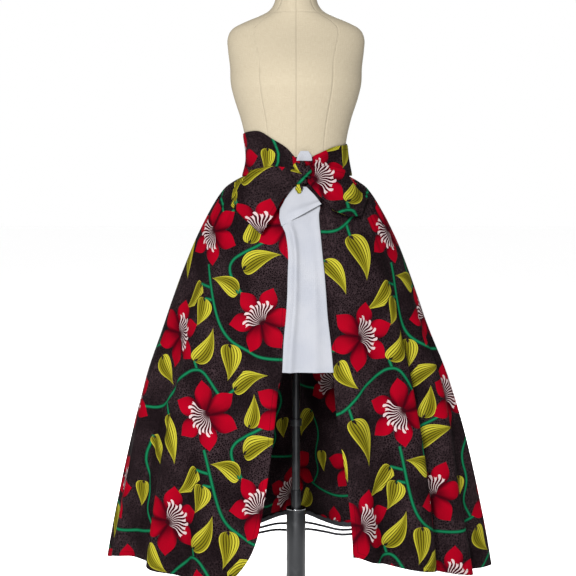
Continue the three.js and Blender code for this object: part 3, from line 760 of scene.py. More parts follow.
# %% Petals
PETALS = 6
PETAL_SHADE = paint(60, 0, 14)
PETAL_LIGHT = paint(184, 0, 32)
TIP_ROUNDNESS, TIP_DROP = 0.75, 0.32  # how a petal's reach falls off beside its tip
GAP_SHARPNESS, GAP_DROP = 5.0, 0.2  # and how it drops further, close to the gap
SHADED = 0.3  # the light that is left in the shade


def draw_petals(wires, own, far, below):
    x, y, _ = wires.parts(own)
    turn = wires.line(wires.sum("ARCTAN2", y, x), slope=PETALS / (2 * math.pi), start=0.5)
    across = wires.sum("FRACT", turn)
    edge = wires.sum("ABSOLUTE", wires.line(across, slope=2.0, start=-1.0))
    pointed = wires.line(wires.sum("POWER", edge, TIP_ROUNDNESS), slope=-TIP_DROP, start=1.0)
    reach = wires.line(wires.sum("POWER", edge, GAP_SHARPNESS), slope=-GAP_DROP, start=pointed)
    inside = wires.sum("LESS_THAN", far, reach)
    by_gap = wires.line(wires.ramp(edge, low=1.0, high=0.45), slope=1 - SHADED, start=SHADED)
    by_middle = wires.line(wires.ramp(far, low=0.1, high=0.65), slope=1 - SHADED, start=SHADED)
    by_side = wires.line(across, slope=0.5, start=0.5)
    light = wires.ramp(wires.both(wires.both(by_gap, by_middle), by_side), low=0.0, high=0.92)
    return wires.blend(inside, below, wires.blend(light, PETAL_SHADE, PETAL_LIGHT))


# %% [markdown]
# The stamens fan out from a point beside the flower's middle: thin white threads that bend outwards and
# sway, each with a thick end, every other one longer. They are drawn round that point by angle, as the
# petals are, and fade out close to it, where they would be finer than any printer's line.

# %% Stamens
STAMEN = paint(236, 214, 214)
STAMEN_GAP = paint(52, 8, 18)
FAN_ROOT = 0.16  # from the flower's middle, as a share of its radius
FAN_REACH = 0.64
REACH_CHANGE = 0.05  # every other thread is this much longer, the rest this much shorter
FAN_HALF_ANGLE = 0.93  # radians
FAN_SPREAD = -0.3  # the threads bend outwards with this share of their length
SWAY_TURN, SWAY_PACE = 0.045, 15.0
STAMEN_SPACING = 0.17  # radians
THIN_AT_ROOT, THIN_CHANGE, THICK_END = 0.85, -0.9, -0.7


def draw_stamens(wires, own, below):
    from_root = wires.vector("ADD", own, (FAN_ROOT, 0, 0))
    root_x, root_y, _ = wires.parts(from_root)
    root_far = wires.vector("LENGTH", from_root, output=1)
    spread = wires.line(root_far, slope=FAN_SPREAD, start=1.0)
    sway = wires.both(wires.sum("SINE", wires.both(root_far, SWAY_PACE)), SWAY_TURN)
    turn = wires.line(wires.sum("ARCTAN2", root_y, root_x), slope=spread, start=sway)
    in_angle = wires.sum("LESS_THAN", wires.sum("ABSOLUTE", turn), FAN_HALF_ANGLE)
    every_other = wires.sum("COSINE", wires.both(turn, math.pi / STAMEN_SPACING))
    reach = wires.line(every_other, slope=REACH_CHANGE, start=FAN_REACH)
    to_end = wires.sum("SUBTRACT", reach, root_far)
    in_fan = wires.both(in_angle, wires.sum("LESS_THAN", root_far, reach))
    thread = wires.sum("COSINE", wires.both(turn, 2 * math.pi / STAMEN_SPACING))
    thin = wires.line(root_far, slope=THIN_CHANGE, start=THIN_AT_ROOT)
    limit = wires.line(wires.ramp(to_end, low=0.14, high=0.06), slope=THICK_END, start=thin)
    off_root = wires.ramp(root_far, low=0.1, high=0.24)
    on_thread = wires.both(wires.sum("GREATER_THAN", thread, limit), off_root)
    dark = wires.both(wires.ramp(to_end, low=0.02, high=0.12), 0.85)
    colour = wires.blend(wires.both(in_fan, dark), below, STAMEN_GAP)
    return wires.blend(wires.both(in_fan, on_thread), colour, STAMEN)


def draw_flowers(wires, cloth, below):
    size = (FLOWER_RADIUS, FLOWER_RADIUS)
    flowers = [((x, y), math.radians(fan), size, 0.0) for x, y, fan in zip(*FLOWERS.values())]
    own, far = nearest_motif(wires, cloth, flowers)
    return draw_stamens(wires, own, draw_petals(wires, own, far, below))


# %% [markdown]
# The finished cloth adds what light shows on real cotton: a weave, small dents from handling, and almost no
# shine. The weave is drawn coarser than a real one, so that it doesn't shimmer from a few steps away. A
# line of stitches runs along the turned edges. It uses a second map, which holds the distance from the
# nearest edge.

# %% Printed cotton
PRINT_WEAVE = 70.0
WAVES_AT_SCALE_ONE = 20 / (2 * math.pi)  # waves in a metre that a wave texture draws at a scale of 1
STITCHES_IN = 0.011  # metres from the edge to the line of stitches
STITCH_LENGTH = 0.0032
STITCH_THREAD = paint(20, 14, 16)


def own_map(wires, name):
    return wires.add("ShaderNodeUVMap", uv_map=name)


def printed_cotton():
    wires = Wires("printed_cotton")
    cloth = own_map(wires, "Cloth")
    colour = draw_ground(wires, cloth)
    colour = draw_vines(wires, cloth, STEMS, colour)
    colour = draw_vines(wires, cloth, VINES, colour)
    colour = draw_leaves(wires, cloth, colour)
    colour = draw_flowers(wires, cloth, colour)
    edge_far, edge_along, _ = wires.parts(own_map(wires, "Edge"))
    from_line = wires.sum("ABSOLUTE", wires.sum("SUBTRACT", edge_far, STITCHES_IN))
    on_line = wires.ramp(from_line, low=0.0009, high=0.0003)
    stitches = wires.sum("SINE", wires.both(edge_along, 2 * math.pi / STITCH_LENGTH))
    dashes = wires.both(on_line, wires.ramp(stitches, low=-0.5, high=-0.1))
    colour = wires.blend(wires.both(dashes, 0.8), colour, STITCH_THREAD)
    fresh = wires.ramp(wires.noise(cloth, scale=7.0, detail=4.0), low=0.2, high=0.8)
    colour = wires.blend(wires.line(fresh, slope=-0.10, start=0.10), colour, GROUND)
    threads = wires.bump(wires.weave(cloth, PRINT_WEAVE), strength=0.25, distance=0.0002)
    dented = wires.noise(cloth, scale=26.0, detail=3.0)
    dents = wires.bump(dented, strength=0.16, distance=0.004, under=threads)
    pulled = wires.bump(on_line, strength=0.5, distance=-0.0006, under=dents)
    wires.shader.inputs["Specular IOR Level"].default_value = 0.01
    return wires.finish(wires.line(fresh, slope=0.1, start=0.72), Base_Color=colour, Normal=pulled)


PRINTED = (printed_cotton(), "printed_cotton")  # a finish, and the name of one of the frame's slots, kept with it
threads_a_metre = round(PRINT_WEAVE * WAVES_AT_SCALE_ONE)
print("printed cotton:", len(PRINTED[0].node_tree.nodes), "nodes,", threads_a_metre, "threads a metre")

# %% [markdown]
# The other cloths are plain: white cotton for the tail, cream linen on the form, and dark grey tape at the
# back hem. Linen is woven from uneven threads, so its threads differ in shade as well as in height.

# %% Plain cloths
CLOTH_SHINE = 0.12


def plain_cotton(name, light, shade, weave_scale, roughness):
    wires = Wires(name)
    cloth = own_map(wires, "Cloth")
    weave = wires.weave(cloth, weave_scale)
    cloudy = wires.ramp(wires.noise(cloth, scale=14.0, detail=3.0), low=0.3, high=0.7)
    colour = wires.blend(wires.line(cloudy, 0.6, wires.both(weave, 0.4)), shade, light)
    threads = wires.bump(weave, strength=0.3, distance=0.0002)
    dented = wires.noise(cloth, scale=22.0, detail=3.0)
    dents = wires.bump(dented, strength=0.25, distance=0.003, under=threads)
    wires.shader.inputs["Specular IOR Level"].default_value = CLOTH_SHINE
    return wires.finish(roughness, Base_Color=colour, Normal=dents)


LINEN_LIGHT = paint(218, 205, 178)
LINEN_SHADE = paint(204, 190, 163)
SEAM_SHADE = paint(150, 138, 118)
LINEN_WEAVE = 55.0
LINEN_ROUGHNESS = 0.85
SLUB_THREAD = (1900, 60)  # changes of shade in a metre, across a thread and along it


def cream_linen():
    wires = Wires("cream_linen")
    cloth = own_map(wires, "Cloth")
    upright = wires.noise(wires.vector("MULTIPLY", cloth, (*SLUB_THREAD, 1)), scale=1.0)
    level = wires.noise(wires.vector("MULTIPLY", cloth, (*SLUB_THREAD[::-1], 1)), scale=1.0)
    slub = wires.ramp(wires.sum("ADD", upright, level), low=0.75, high=1.25)
    colour = wires.blend(slub, LINEN_SHADE, LINEN_LIGHT)
    seam_far, _, _ = wires.parts(own_map(wires, "Edge"))
    seam_line = wires.ramp(seam_far, low=0.0012, high=0.0003)
    colour = wires.blend(wires.both(seam_line, 0.4), colour, SEAM_SHADE)
    threads = wires.bump(wires.weave(cloth, LINEN_WEAVE), strength=0.3, distance=0.0003)
    slubs = wires.bump(slub, strength=0.15, distance=0.0003, under=threads)
    sunk_seam = wires.ramp(seam_far, low=0.004, high=0.0)
    skin = wires.bump(sunk_seam, strength=0.6, distance=-0.0015, under=slubs)
    wires.shader.inputs["Specular IOR Level"].default_value = CLOTH_SHINE
    return wires.finish(LINEN_ROUGHNESS, Base_Color=colour, Normal=skin)


white_cotton = plain_cotton("white_cotton", paint(202, 204, 211), paint(186, 190, 201), 65.0, 0.75)
grey_tape = plain_cotton("grey_tape", paint(66, 66, 72), paint(34, 34, 38), 45.0, 0.8)
cap_linen = plain_cotton("cap_linen", LINEN_LIGHT, paint(202, 188, 160), LINEN_WEAVE, LINEN_ROUGHNESS)
WHITE = (white_cotton, "white_cotton")
TAPE = (grey_tape, "grey_tape")
LINEN = (cream_linen(), "cream_linen")
CAP_LINEN = (cap_linen, "cream_linen")

# %% [markdown]
# The stand is steel tube. Dark enamel has a faint orange peel and small scuffs that are rougher than the
# rest. The ring on the column is bright plated.

# %% Metals
OBJECT_PLACE = 3  # the output of a texture coordinate node that holds the object's own measure


def enamel(name, colour, scuffed, roughness, metallic):
    wires = Wires(name)
    place = wires.add("ShaderNodeTexCoord", output=OBJECT_PLACE)
    scuffs = wires.ramp(wires.noise(place, scale=38.0, detail=6.0), low=0.5, high=0.72)
    body = wires.blend(scuffs, colour, scuffed)
    peel = wires.bump(wires.noise(place, scale=420.0, detail=1.0), strength=0.12, distance=0.0004)
    wires.shader.inputs["Metallic"].default_value = metallic
    return wires.finish(wires.line(scuffs, slope=0.18, start=roughness), Base_Color=body, Normal=peel)


dark_metal = enamel("dark_metal", paint(58, 60, 64), paint(78, 80, 84), 0.34, metallic=0.55)
bright_metal = enamel("bright_metal", paint(200, 202, 206), paint(168, 170, 174), 0.16, metallic=1.0)
DARK_METAL = (dark_metal, "dark_metal")
BRIGHT_METAL = (bright_metal, "bright_metal")

# %% [markdown]
# ## Cloth pieces
# A piece of cloth is one grid whose points are moved to where the cloth hangs. Its map is its own measure:
# the distance along the cloth, so the print keeps its size in every fold, as real cloth does. Solidify
# then gives the sheet its thickness inwards, and closes its edges.

# %% Sheet helpers
def grid_shares(columns, rows, crowding=1.0):
    """A share across and a share down for every point of a grid."""
    across, down = np.meshgrid(np.linspace(0, 1, columns + 1), np.linspace(0, 1, rows + 1))
    return across, down**crowding


def cloth_measure(points, grain_column):
    """How far each point lies across and up the cloth, in metres, from the top of its grain line."""
    across = np.cumsum(np.linalg.norm(np.diff(points, axis=1), axis=2), axis=1)
    across = np.pad(across, ((0, 0), (1, 0)))
    down = np.pad(np.cumsum(np.linalg.norm(np.diff(points, axis=0), axis=2), axis=0), ((1, 0), (0, 0)))
    return np.stack([across - across[:, [grain_column]], -down], axis=-1) * MM


def edge_measure(points, sides):
    """The distance from the nearest of the named edges, and the distance along it, in metres."""
    measure = cloth_measure(points, 0)
    across, down = measure[..., 0], -measure[..., 1]
    far = {
        "left": (across, down),
        "right": (across[:, [-1]] - across, down),
        "top": (down, across),
        "bottom": (down[[-1], :] - down, across),
    }
    stacked = np.stack([np.stack(far[side], axis=-1) for side in sides])
    nearest = np.argmin(stacked[..., 0], axis=0)
    return np.take_along_axis(stacked, nearest[None, ..., None], axis=0)[0]


FAR_FROM_EDGES = np.array([1.0, 0.0])
FRONT_PRINT = np.array([-0.150, -0.936])  # moves a flower of the repeat beside the knot


def front_print(points, start_column, direction):
    """The print laid on from the front: level distance along the cloth from one column, and height."""
    steps = np.linalg.norm(np.diff(points[..., :2], axis=1), axis=2)
    travelled = np.pad(np.cumsum(steps, axis=1), ((0, 0), (1, 0)))
    travelled = direction * (travelled - travelled[:, [start_column]]) + points[:, [start_column], 0]
    return np.stack([travelled, points[..., 2]], axis=-1) * MM + FRONT_PRINT


def link_mesh(name, bm, finish, body, replaced):
    """Turns a mesh in the making into a finished piece, fixes it to its body and hides the part of the frame
    that it stands for.
    """
    material, slot_name = finish
    for face in bm.faces:
        face.smooth = True
    piece = bpy.data.objects.new(name, bpy.data.meshes.new(name))
    bm.to_mesh(piece.data)
    bm.free()
    piece.data.materials.append(material)
    bpy.context.scene.collection.objects.link(piece)
    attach(piece, body)
    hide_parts(replaced)
    return piece


def sheet_mesh(points, maps, wrapped=False):
    """A grid of points in millimetres, with its maps. A wrapped one is joined to itself at the sides."""
    rows, columns = points.shape[0] - 1, points.shape[1] - 1
    bm = bmesh.new()
    bmesh.ops.create_grid(bm, x_segments=columns, y_segments=rows, size=0.5)
    layers = {name: bm.loops.layers.uv.new(name) for name in maps}
    place = {v: (round((0.5 - v.co.y) * rows), round((v.co.x + 0.5) * columns)) for v in bm.verts}
    for face in bm.faces:
        for loop in face.loops:
            for name, layer in layers.items():
                loop[layer].uv = maps[name][place[loop.vert]]
    for vert, at in place.items():
        vert.co = Vector(points[at]) * MM
    if wrapped:
        bmesh.ops.remove_doubles(bm, verts=bm.verts, dist=0.00002)
    return bm


def sheet_area(points):
    """Area in square metres."""
    one, two = points[1:, 1:] - points[:-1, :-1], points[1:, :-1] - points[:-1, 1:]
    return float(np.linalg.norm(np.cross(one, two), axis=-1).sum() / 2 * MM * MM)


def cut_size(points):
    """The rectangle that the piece is cut from: its widest row by its longest column, and its area."""
    width = np.linalg.norm(np.diff(points, axis=1), axis=2).sum(axis=1).max() * MM
    length = np.linalg.norm(np.diff(points, axis=0), axis=2).sum(axis=0).max() * MM
    area = min(sheet_area(points), width * length)
    return (round(float(width), 3), round(float(length), 3)), area


def make_sheet(name, points, maps, finish, thickness, wrapped=False):
    bm = sheet_mesh(points, maps, wrapped)
    piece = link_mesh(name + "_cloth", bm, finish, "form", name)
    wall = piece.modifiers.new("wall", "SOLIDIFY")
    wall.thickness = thickness * MM
    wall.offset = -1
    flat, area = cut_size(points)
    print(f"{name}: cut {flat[0]:.3f} x {flat[1]:.3f} m, {area:.3f} square metres")
    return piece


# %% [markdown]
# The four panels are sewn at the sides and the centre back, and open at the front. The cloth's lengthways
# threads hang straight down, so its map counts up by height, and along each row from one upright line. A
# pattern maker lays the print so that a whole flower sits well on each panel: the map is moved until one
# flower lies at the named place.

# %% The skirt's panels
PANEL_COLUMNS = 150
PANEL_ROWS = 130
CROWDING = 1.15  # above 1, the rows lie closer near the waist, where the gathers are
PANEL_THICKNESS = 1.2
FLOWER_PLACES = table("x z", (-205, 579), (236, 585), (250, 560), (-215, 640))
GRAIN_LINES = table("x way", (-60, 1), (110, 1), (150, -1), (-150, -1))
SLANT = 1.02  # the cloth's length for each length of height
OPEN_EDGES = {"skirt_front_left": ("right", "bottom"), "skirt_front_right": ("left", "bottom")}


def upright_print(points, grain_x, way):
    """Distance along each row from an upright line, and height. The way is 1 where the rows run towards
    larger x, as on the front, and -1 where they run back, as behind."""
    rows = np.arange(points.shape[0])[:, None]
    nearest = np.argmin(np.abs(points[..., 0] - grain_x), axis=1)[:, None]
    travelled = cloth_measure(points, 0)[..., 0]
    at_line = points[rows, nearest, 0] - grain_x
    across = travelled - travelled[rows, nearest] + way * at_line * MM
    return np.stack([across, SLANT * points[..., 2] * MM], axis=-1)


for name, flower_x, flower_z, grain_x, way in zip(PANELS, *FLOWER_PLACES.values(), *GRAIN_LINES.values()):
    angle, z = panel_place(name, *grid_shares(PANEL_COLUMNS, PANEL_ROWS, CROWDING))
    points = skirt_point(angle, z, with_small_folds=True)
    measure = upright_print(points, grain_x, way)
    away = np.hypot(points[..., 0] - flower_x, points[..., 2] - flower_z)
    measure = measure - measure[np.unravel_index(away.argmin(), away.shape)]
    maps = {"Cloth": measure, "Edge": edge_measure(points, OPEN_EDGES.get(name, ("bottom",)))}
    make_sheet(name, points, maps, PRINTED, PANEL_THICKNESS)

# %% [markdown]
# The waistband is a plain ring of the same cloth, under the sash. The sash is a wide band tied over it.
# Where it is pulled into the knot it pleats: troughs start together at the knot and spread towards the
# sides, where they die out. The sash and the bow are one length of cloth, so one print runs over both.

# %% Waistband and sash
ROUND_COLUMNS = 220
BAND_ROWS, SASH_ROWS = 6, 44
BAND_TOP = 1158
BAND_THICKNESS, SASH_THICKNESS = 1.6, 1.4
PLEATS = table(
    "side edge_share width depth reach",
    (-1, 0.16, 0.05, 3.4, 62),
    (-1, 0.34, 0.045, 2.6, 38),
    (-1, 0.55, 0.06, 3.0, 74),
    (-1, 0.78, 0.05, 2.4, 46),
    (1, 0.2, 0.05, 2.8, 50),
    (1, 0.42, 0.05, 3.2, 66),
    (1, 0.63, 0.045, 2.4, 36),
    (1, 0.84, 0.05, 2.6, 58),
)
KNOT_ANGLE = 5
PLEATS_SPREAD_AT = 55  # degrees from the knot
LEAST_PLEAT = 0.6  # a pleat is never deeper than half the bulge and this
BULGE_SPAN = 1.3  # the bulge's soft arc is this much taller than the sash
TOP_EDGE_DROP, BOTTOM_EDGE_DROP = 1.2, 0.8  # how far the folded edges sink
FOLDED_EDGE_WIDTH = 0.03


def round_grid(rows):
    across, down = grid_shares(ROUND_COLUMNS, rows)
    return mix(-180, 180, across), down


def pleat_depth(angle, down):
    turn = turn_between(angle, KNOT_ANGLE)
    depth = 0 * down
    for side, edge_share, width, most, reach in zip(*PLEATS.values()):
        away = np.clip(turn * side, 0, None)
        line = mix(0.5, edge_share, smooth_step(0, PLEATS_SPREAD_AT, away))
        strength = smooth_step(1, 8, away) * (1 - smooth_step(0.5 * reach, reach, away))
        depth = depth + most * strength * bell(down - line, width)
    return depth


angle, down = round_grid(BAND_ROWS)
band_points = torso_point(angle, mix(BAND_TOP, SKIRT_TOP + GAP, down), GAP + CLOTH)
band_maps = {"Cloth": cloth_measure(band_points, 0), "Edge": edge_measure(band_points, ["top"])}
make_sheet("waistband", band_points, band_maps, PRINTED, BAND_THICKNESS, wrapped=True)

angle, down = round_grid(SASH_ROWS)
top = smooth_at(SASH, "angle", "top", angle)
bottom = smooth_at(SASH, "angle", "bottom", angle)
bulge = smooth_at(SASH, "angle", "bulge", angle) * np.sin(math.pi * down / BULGE_SPAN)
top_edge = TOP_EDGE_DROP * bell(down, FOLDED_EDGE_WIDTH)
folded_edge = top_edge + BOTTOM_EDGE_DROP * bell(1 - down, FOLDED_EDGE_WIDTH)
pleats = np.minimum(pleat_depth(angle, down), bulge * 0.5 + LEAST_PLEAT)
out = SASH_OUT + CLOTH + bulge - pleats - folded_edge
sash_points = torso_point(angle, mix(top, bottom, down), out)
sash_print = front_print(sash_points, ROUND_COLUMNS // 2, 1)
sash_maps = {"Cloth": sash_print, "Edge": edge_measure(sash_points, ["top", "bottom"])}
make_sheet("sash", sash_points, sash_maps, PRINTED, SASH_THICKNESS, wrapped=True)

# %% [markdown]
# The tail is one end of the sash, in plain white cotton. It comes out of the knot, is folded over once on
# the slant and hangs straight down over the opening, with a soft fold down its length.

# %% Tail
TAIL_THICKNESS = 1.2
TAIL_OUT = 2 * GAP
FOLD_OUT = TAIL_OUT + CLOTH + 2 * GAP
HEAD_OUT = -3.8  # the head is tucked into the sash's bulge
TAIL_GRID, TAIL_FOLD_GRID, TAIL_HEAD_GRID = (44, 150), (44, 60), (24, 16)  # columns and rows
TAIL = table(
    "z left right",
    (1064, -14, 40),
    (1046, -23, 54),
    (1026, -31, 52),
    (1002, -33, 53),
    (982, -25, 55),
    (937, -19, 59),
    (885, -20, 64),
    (842, -21, 67),
    (796, -24, 70),
    (743, -29, 76),
    (676, -32, 82),
)
TAIL_FOLD = table(
    "left_x left_z right_x right_z",
    (-8, 1089, 23, 1089),
    (-25, 1062, 41, 1071),
    (-38, 1038, 50, 1060),
    (-39.5, 1018, 54, 1054),
    (-34, 999, 57, 1050),
)
TAIL_HEAD = table("z left right", (1172, 10, 28), (1160, 3, 36), (1149, 0, 37))
TAIL_RIDGES = table(
    "height middle sway pace phase width start full",
    (7.0, 0.17, 0.05, 3, 0.6, 0.06, 0.02, 0.25),
    (5.0, 0.68, 0.04, 4, 0, 0.09, 0.1, 0.6),
    (2.4, 0.93, 0, 0, 0, 0.06, 0.8, 0.3),
)
CREASE_HEIGHT, CREASE_WIDTH = 4.0, 0.13  # the crease down the fold
CREASE_TOP, CREASE_SLANT = 0.40, 0.12
ROLL_HEIGHT, ROLL_WIDTH, ROLL_PLACE = 2.2, 0.08, 0.72  # the roll across it, above its lower edge
LOWER_EDGE_DROP, LOWER_EDGE_WIDTH = 1.6, 0.05
CRUMPLE_HEIGHT, CRUMPLE_PACE = 1.2, 9


def between_rows(rows, column, down):
    """The value of a column at a share of the way from a table's first row to its last."""
    places = np.linspace(0, 1, len(rows[column]))
    return np.interp(down, places, rows[column])


def strip_points(left_x, left_z, right_x, right_z, across, out, relief):
    """A strip between two edges, laid on whatever stands out furthest under it."""
    x, z = mix(left_x, right_x, across), mix(left_z, right_z, across)
    at_edges = np.maximum(front_reach(left_x, left_z), front_reach(right_x, right_z))
    reach = np.maximum(at_edges, front_reach(x, z))
    return np.stack([x, -(reach + out + CLOTH + relief), z], axis=-1)


def tail_relief(across, down):
    """Soft lengthways folds. One whose full place is above its start fades on the way down."""
    relief = 0 * down
    for height, middle, sway, pace, phase, width, start, full in zip(*TAIL_RIDGES.values()):
        line = middle + sway * np.sin(pace * down + phase)
        relief = relief + height * bell(across - line, width) * smooth_step(start, full, down)
    return relief


across, down = grid_shares(*TAIL_GRID)
z = mix(TAIL["z"][0], TAIL["z"][-1], down)
left, right = smooth_at(TAIL, "z", "left", z), smooth_at(TAIL, "z", "right", z)
tail_points = strip_points(left, z, right, z, across, TAIL_OUT, tail_relief(across, down))
tail_maps = {"Cloth": cloth_measure(tail_points, 0)}
make_sheet("tail", tail_points, tail_maps, WHITE, TAIL_THICKNESS)

across, down = grid_shares(*TAIL_FOLD_GRID)
corners = [between_rows(TAIL_FOLD, column, down) for column in TAIL_FOLD]
crease_line = CREASE_TOP + CREASE_SLANT * down
crease = CREASE_HEIGHT * bell(across - crease_line, CREASE_WIDTH) * smooth_step(0.0, 0.6, down)
roll = ROLL_HEIGHT * bell(down - ROLL_PLACE, ROLL_WIDTH) * smooth_step(0.1, 0.5, across)
lower_edge = LOWER_EDGE_DROP * bell(1 - down, LOWER_EDGE_WIDTH)
fold_points = strip_points(*corners, across, FOLD_OUT, crease + roll - lower_edge)
fold_maps = {"Cloth": cloth_measure(fold_points, 0)}
make_sheet("tail_fold", fold_points, fold_maps, WHITE, TAIL_THICKNESS)

across, down = grid_shares(*TAIL_HEAD_GRID)
z = mix(TAIL_HEAD["z"][0], TAIL_HEAD["z"][-1], down)
left, right = between_rows(TAIL_HEAD, "left", down), between_rows(TAIL_HEAD, "right", down)
crumple = CRUMPLE_HEIGHT * np.sin(CRUMPLE_PACE * across + 1.0) * down
head_points = strip_points(left, z, right, z, across, HEAD_OUT, crumple)
head_maps = {"Cloth": cloth_measure(head_points, 0)}
make_sheet("tail_head", head_points, head_maps, WHITE, TAIL_THICKNESS)

# %% [markdown]
# Each bow loop is a band that goes out from the knot, turns round and comes back in front of itself. It is
# squeezed flat at the knot and full at its outer end, with ridges that run out from the knot.

# %% Bow loops
LOOP_GRID = (120, 44)  # columns and rows
LOOP_THICKNESS = 1.1
LOOP_OUT = {"bow_loop_left": 5.4, "bow_loop_right": 4.2}
LOOP_DEPTH = 24
LOOP_DEPTH_AT_KNOT = 5
LOOP_LEAST_DEPTH = 2.6
LOOP_FULL_AT = 0.6  # shares of the way from the knot to the outer end
LOOP_ROUND_FROM = 0.7
LOOP_RIDGES = table(
    "share width height fades_at",
    (0.12, 0.06, 2.6, 0.7),
    (0.36, 0.07, 3.4, 0.95),
    (0.62, 0.05, 2.4, 0.6),
    (0.85, 0.07, 3.0, 0.85),
)
LOOPS = {
    "bow_loop_left": table(
        "upper_x upper_z lower_x lower_z",
        (-3, 1131, 0, 1094),
        (-60, 1137, -30, 1062),
        (-106, 1127, -52, 1024),
        (-132, 1092, -72, 992),
        (-152, 1044, -80, 980),
    ),
    "bow_loop_right": table(
        "upper_x upper_z lower_x lower_z",
        (28, 1132, 26, 1100),
        (76, 1138, 55, 1066),
        (112, 1129, 84, 1035),
        (140, 1086, 122, 1020),
        (166, 1060, 152, 1022),
    ),
}
SHOULDER = range(-15, 16, 5)  # the loops round the sash's lower edge over these heights


def loop_points(name):
    """From the knot along the back layer, round the outer end and back along the front layer."""
    edges = LOOPS[name]
    trip, across = grid_shares(*LOOP_GRID)
    along = 1 - np.abs(1 - 2 * trip)
    in_front = trip > 0.5
    x = mix(between_rows(edges, "upper_x", along), between_rows(edges, "lower_x", along), across)
    z = mix(between_rows(edges, "upper_z", along), between_rows(edges, "lower_z", along), across)
    past_round = np.clip((along - LOOP_ROUND_FROM) / (1 - LOOP_ROUND_FROM), 0, 1)
    full = mix(LOOP_DEPTH_AT_KNOT, LOOP_DEPTH, smooth_step(0, LOOP_FULL_AT, along))
    depth = np.maximum(full * np.sqrt(1 - past_round**2), LOOP_LEAST_DEPTH)
    ridges = 0 * along
    for share, width, height, fades_at in zip(*LOOP_RIDGES.values()):
        fade = smooth_step(0.02, 0.2, along) * (1 - smooth_step(0.4 * fades_at, fades_at, along))
        ridges = ridges + height * fade * bell(across - share, width)
    under = np.mean([front_reach(x, z + up) for up in SHOULDER], axis=0)
    back = np.maximum(under, front_reach(x, z)) + LOOP_OUT[name]
    reach = np.where(in_front, under + LOOP_OUT[name] + depth + ridges, back)
    return np.stack([x, -reach, z], axis=-1)


LEFT_LOOP_PRINT = np.array([0.379, 0.161])  # brings a flower to the middle of the left loop
for name in LOOPS:
    points = loop_points(name)
    if name == "bow_loop_left":
        points = points[:, ::-1]
        laid = front_print(points, 0, -1) + LEFT_LOOP_PRINT
    else:
        laid = front_print(points, LOOP_GRID[0], -1)
    maps = {"Cloth": laid, "Edge": edge_measure(points, ["top", "bottom"])}
    make_sheet(name, points, maps, PRINTED, LOOP_THICKNESS)

# %% [markdown]
# The knot is cloth wound round cloth. A ball is the right start: slanting grooves cut it into wraps, and
# its map is laid on from the front. The small tip below it is the end of the last wrap, and lies on the
# tail's fold. Each is set back a little, so that it sits in what is under it.

# %% Knot
KNOTS = {
    "knot": {
        "middle": (11, 1120),
        "half": (25, 16, 28),
        "out": -2.0,
        "seat": (11, 1120),
        "print": (-0.110, 0.060),
    },
    "knot_tip": {
        "middle": (6, 1084),
        "half": (9, 5, 11),
        "out": FOLD_OUT + CLOTH - 1.0,
        "seat": (6, 1076),
        "print": (-0.128, 0.084),
    },
}
WRAPS = table(
    "slope offset width depth",
    (0.9, 0.30, 0.09, 0.30),
    (-0.7, -0.12, 0.09, 0.30),
    (0.35, -0.52, 0.10, 0.24),
    (-1.6, 0.62, 0.08, 0.16),
)


def knot_mesh(middle, half, back, print_at):
    """A grooved ball with its rearmost point at the given reach."""
    bm = bmesh.new()
    bmesh.ops.create_uvsphere(bm, u_segments=96, v_segments=64, radius=1)
    for vert in bm.verts:
        x, y, z = vert.co
        pull = 0.0
        for slope, offset, width, depth in zip(*WRAPS.values()):
            away = (z - slope * x - offset) / math.hypot(1, slope)
            pull += depth * float(bell(away, width))
        vert.co = vert.co * (1 - pull)
    size = Vector(half)
    bmesh.ops.scale(bm, verts=bm.verts, vec=size * MM)
    bmesh.ops.translate(bm, verts=bm.verts, vec=Vector((middle[0], -back - half[1], middle[1])) * MM)
    layers = {name: bm.loops.layers.uv.new(name) for name in ("Cloth", "Edge")}
    for face in bm.faces:
        for loop in face.loops:
            co = loop.vert.co
            across, up = co.x - middle[0] * MM, co.z - middle[1] * MM
            loop[layers["Cloth"]].uv = (across + print_at[0], up + print_at[1])
            loop[layers["Edge"]].uv = FAR_FROM_EDGES
    return bm


for name, knot in KNOTS.items():
    back = float(front_reach(*map(float, knot["seat"]))) + knot["out"]
    bm = knot_mesh(knot["middle"], knot["half"], back, knot["print"])
    link_mesh(name + "_wraps", bm, PRINTED, "form", name)

# %% [markdown]
# Inside the back hem a facing of dark grey tape is sewn down. Below it hang two narrow hoops, which hold
# the hem out, on four short tapes. They all follow the back hem, so they are made from its own line, with
# the small folds in it, moved in.

# %% A line inside the back hem
TAPE_THICKNESS = 1.0
SMALL_TURN = 0.4  # degrees


def hem_point(share, up, inward):
    """A point inside the back hem. The share runs from 0 at the right side seam to 2 at the left one."""
    right = share <= 1
    right_angle, right_z = panel_place("skirt_back_right", share, 1.0)
    left_angle, left_z = panel_place("skirt_back_left", share - 1, 1.0)
    angle = np.where(right, right_angle, left_angle)
    z = np.where(right, right_z, left_z) + up
    here = skirt_point(angle, z, with_small_folds=True)
    ahead = skirt_point(angle + SMALL_TURN, z, with_small_folds=True)
    along = ahead - skirt_point(angle - SMALL_TURN, z, with_small_folds=True)
    outward = np.stack([along[..., 1], -along[..., 0], 0 * z], axis=-1)
    outward = outward / np.linalg.norm(outward, axis=-1, keepdims=True)
    return here - outward * np.asarray(inward)[..., None]


def make_tape(name, points, thickness):
    make_sheet(name, points, {"Cloth": cloth_measure(points, 0)}, TAPE, thickness)


# %% [markdown]
# The facing is one strip for each back panel, and leaves the centre seam free. Its upper edge is
# overlocked: a fine wave stands for the rounds of thread that pull it in and out.

# %% Hem facing
FACING_GRID = (260, 4)  # columns and rows
FACING_HEIGHT = 12
FACING_UP = 1
FACINGS = {"hem_facing_right": (0.0, 0.975), "hem_facing_left": (1.025, 2.0)}  # from seam to seam
OVERLOCK_HEIGHT, OVERLOCK_PACE = 1.4, 190

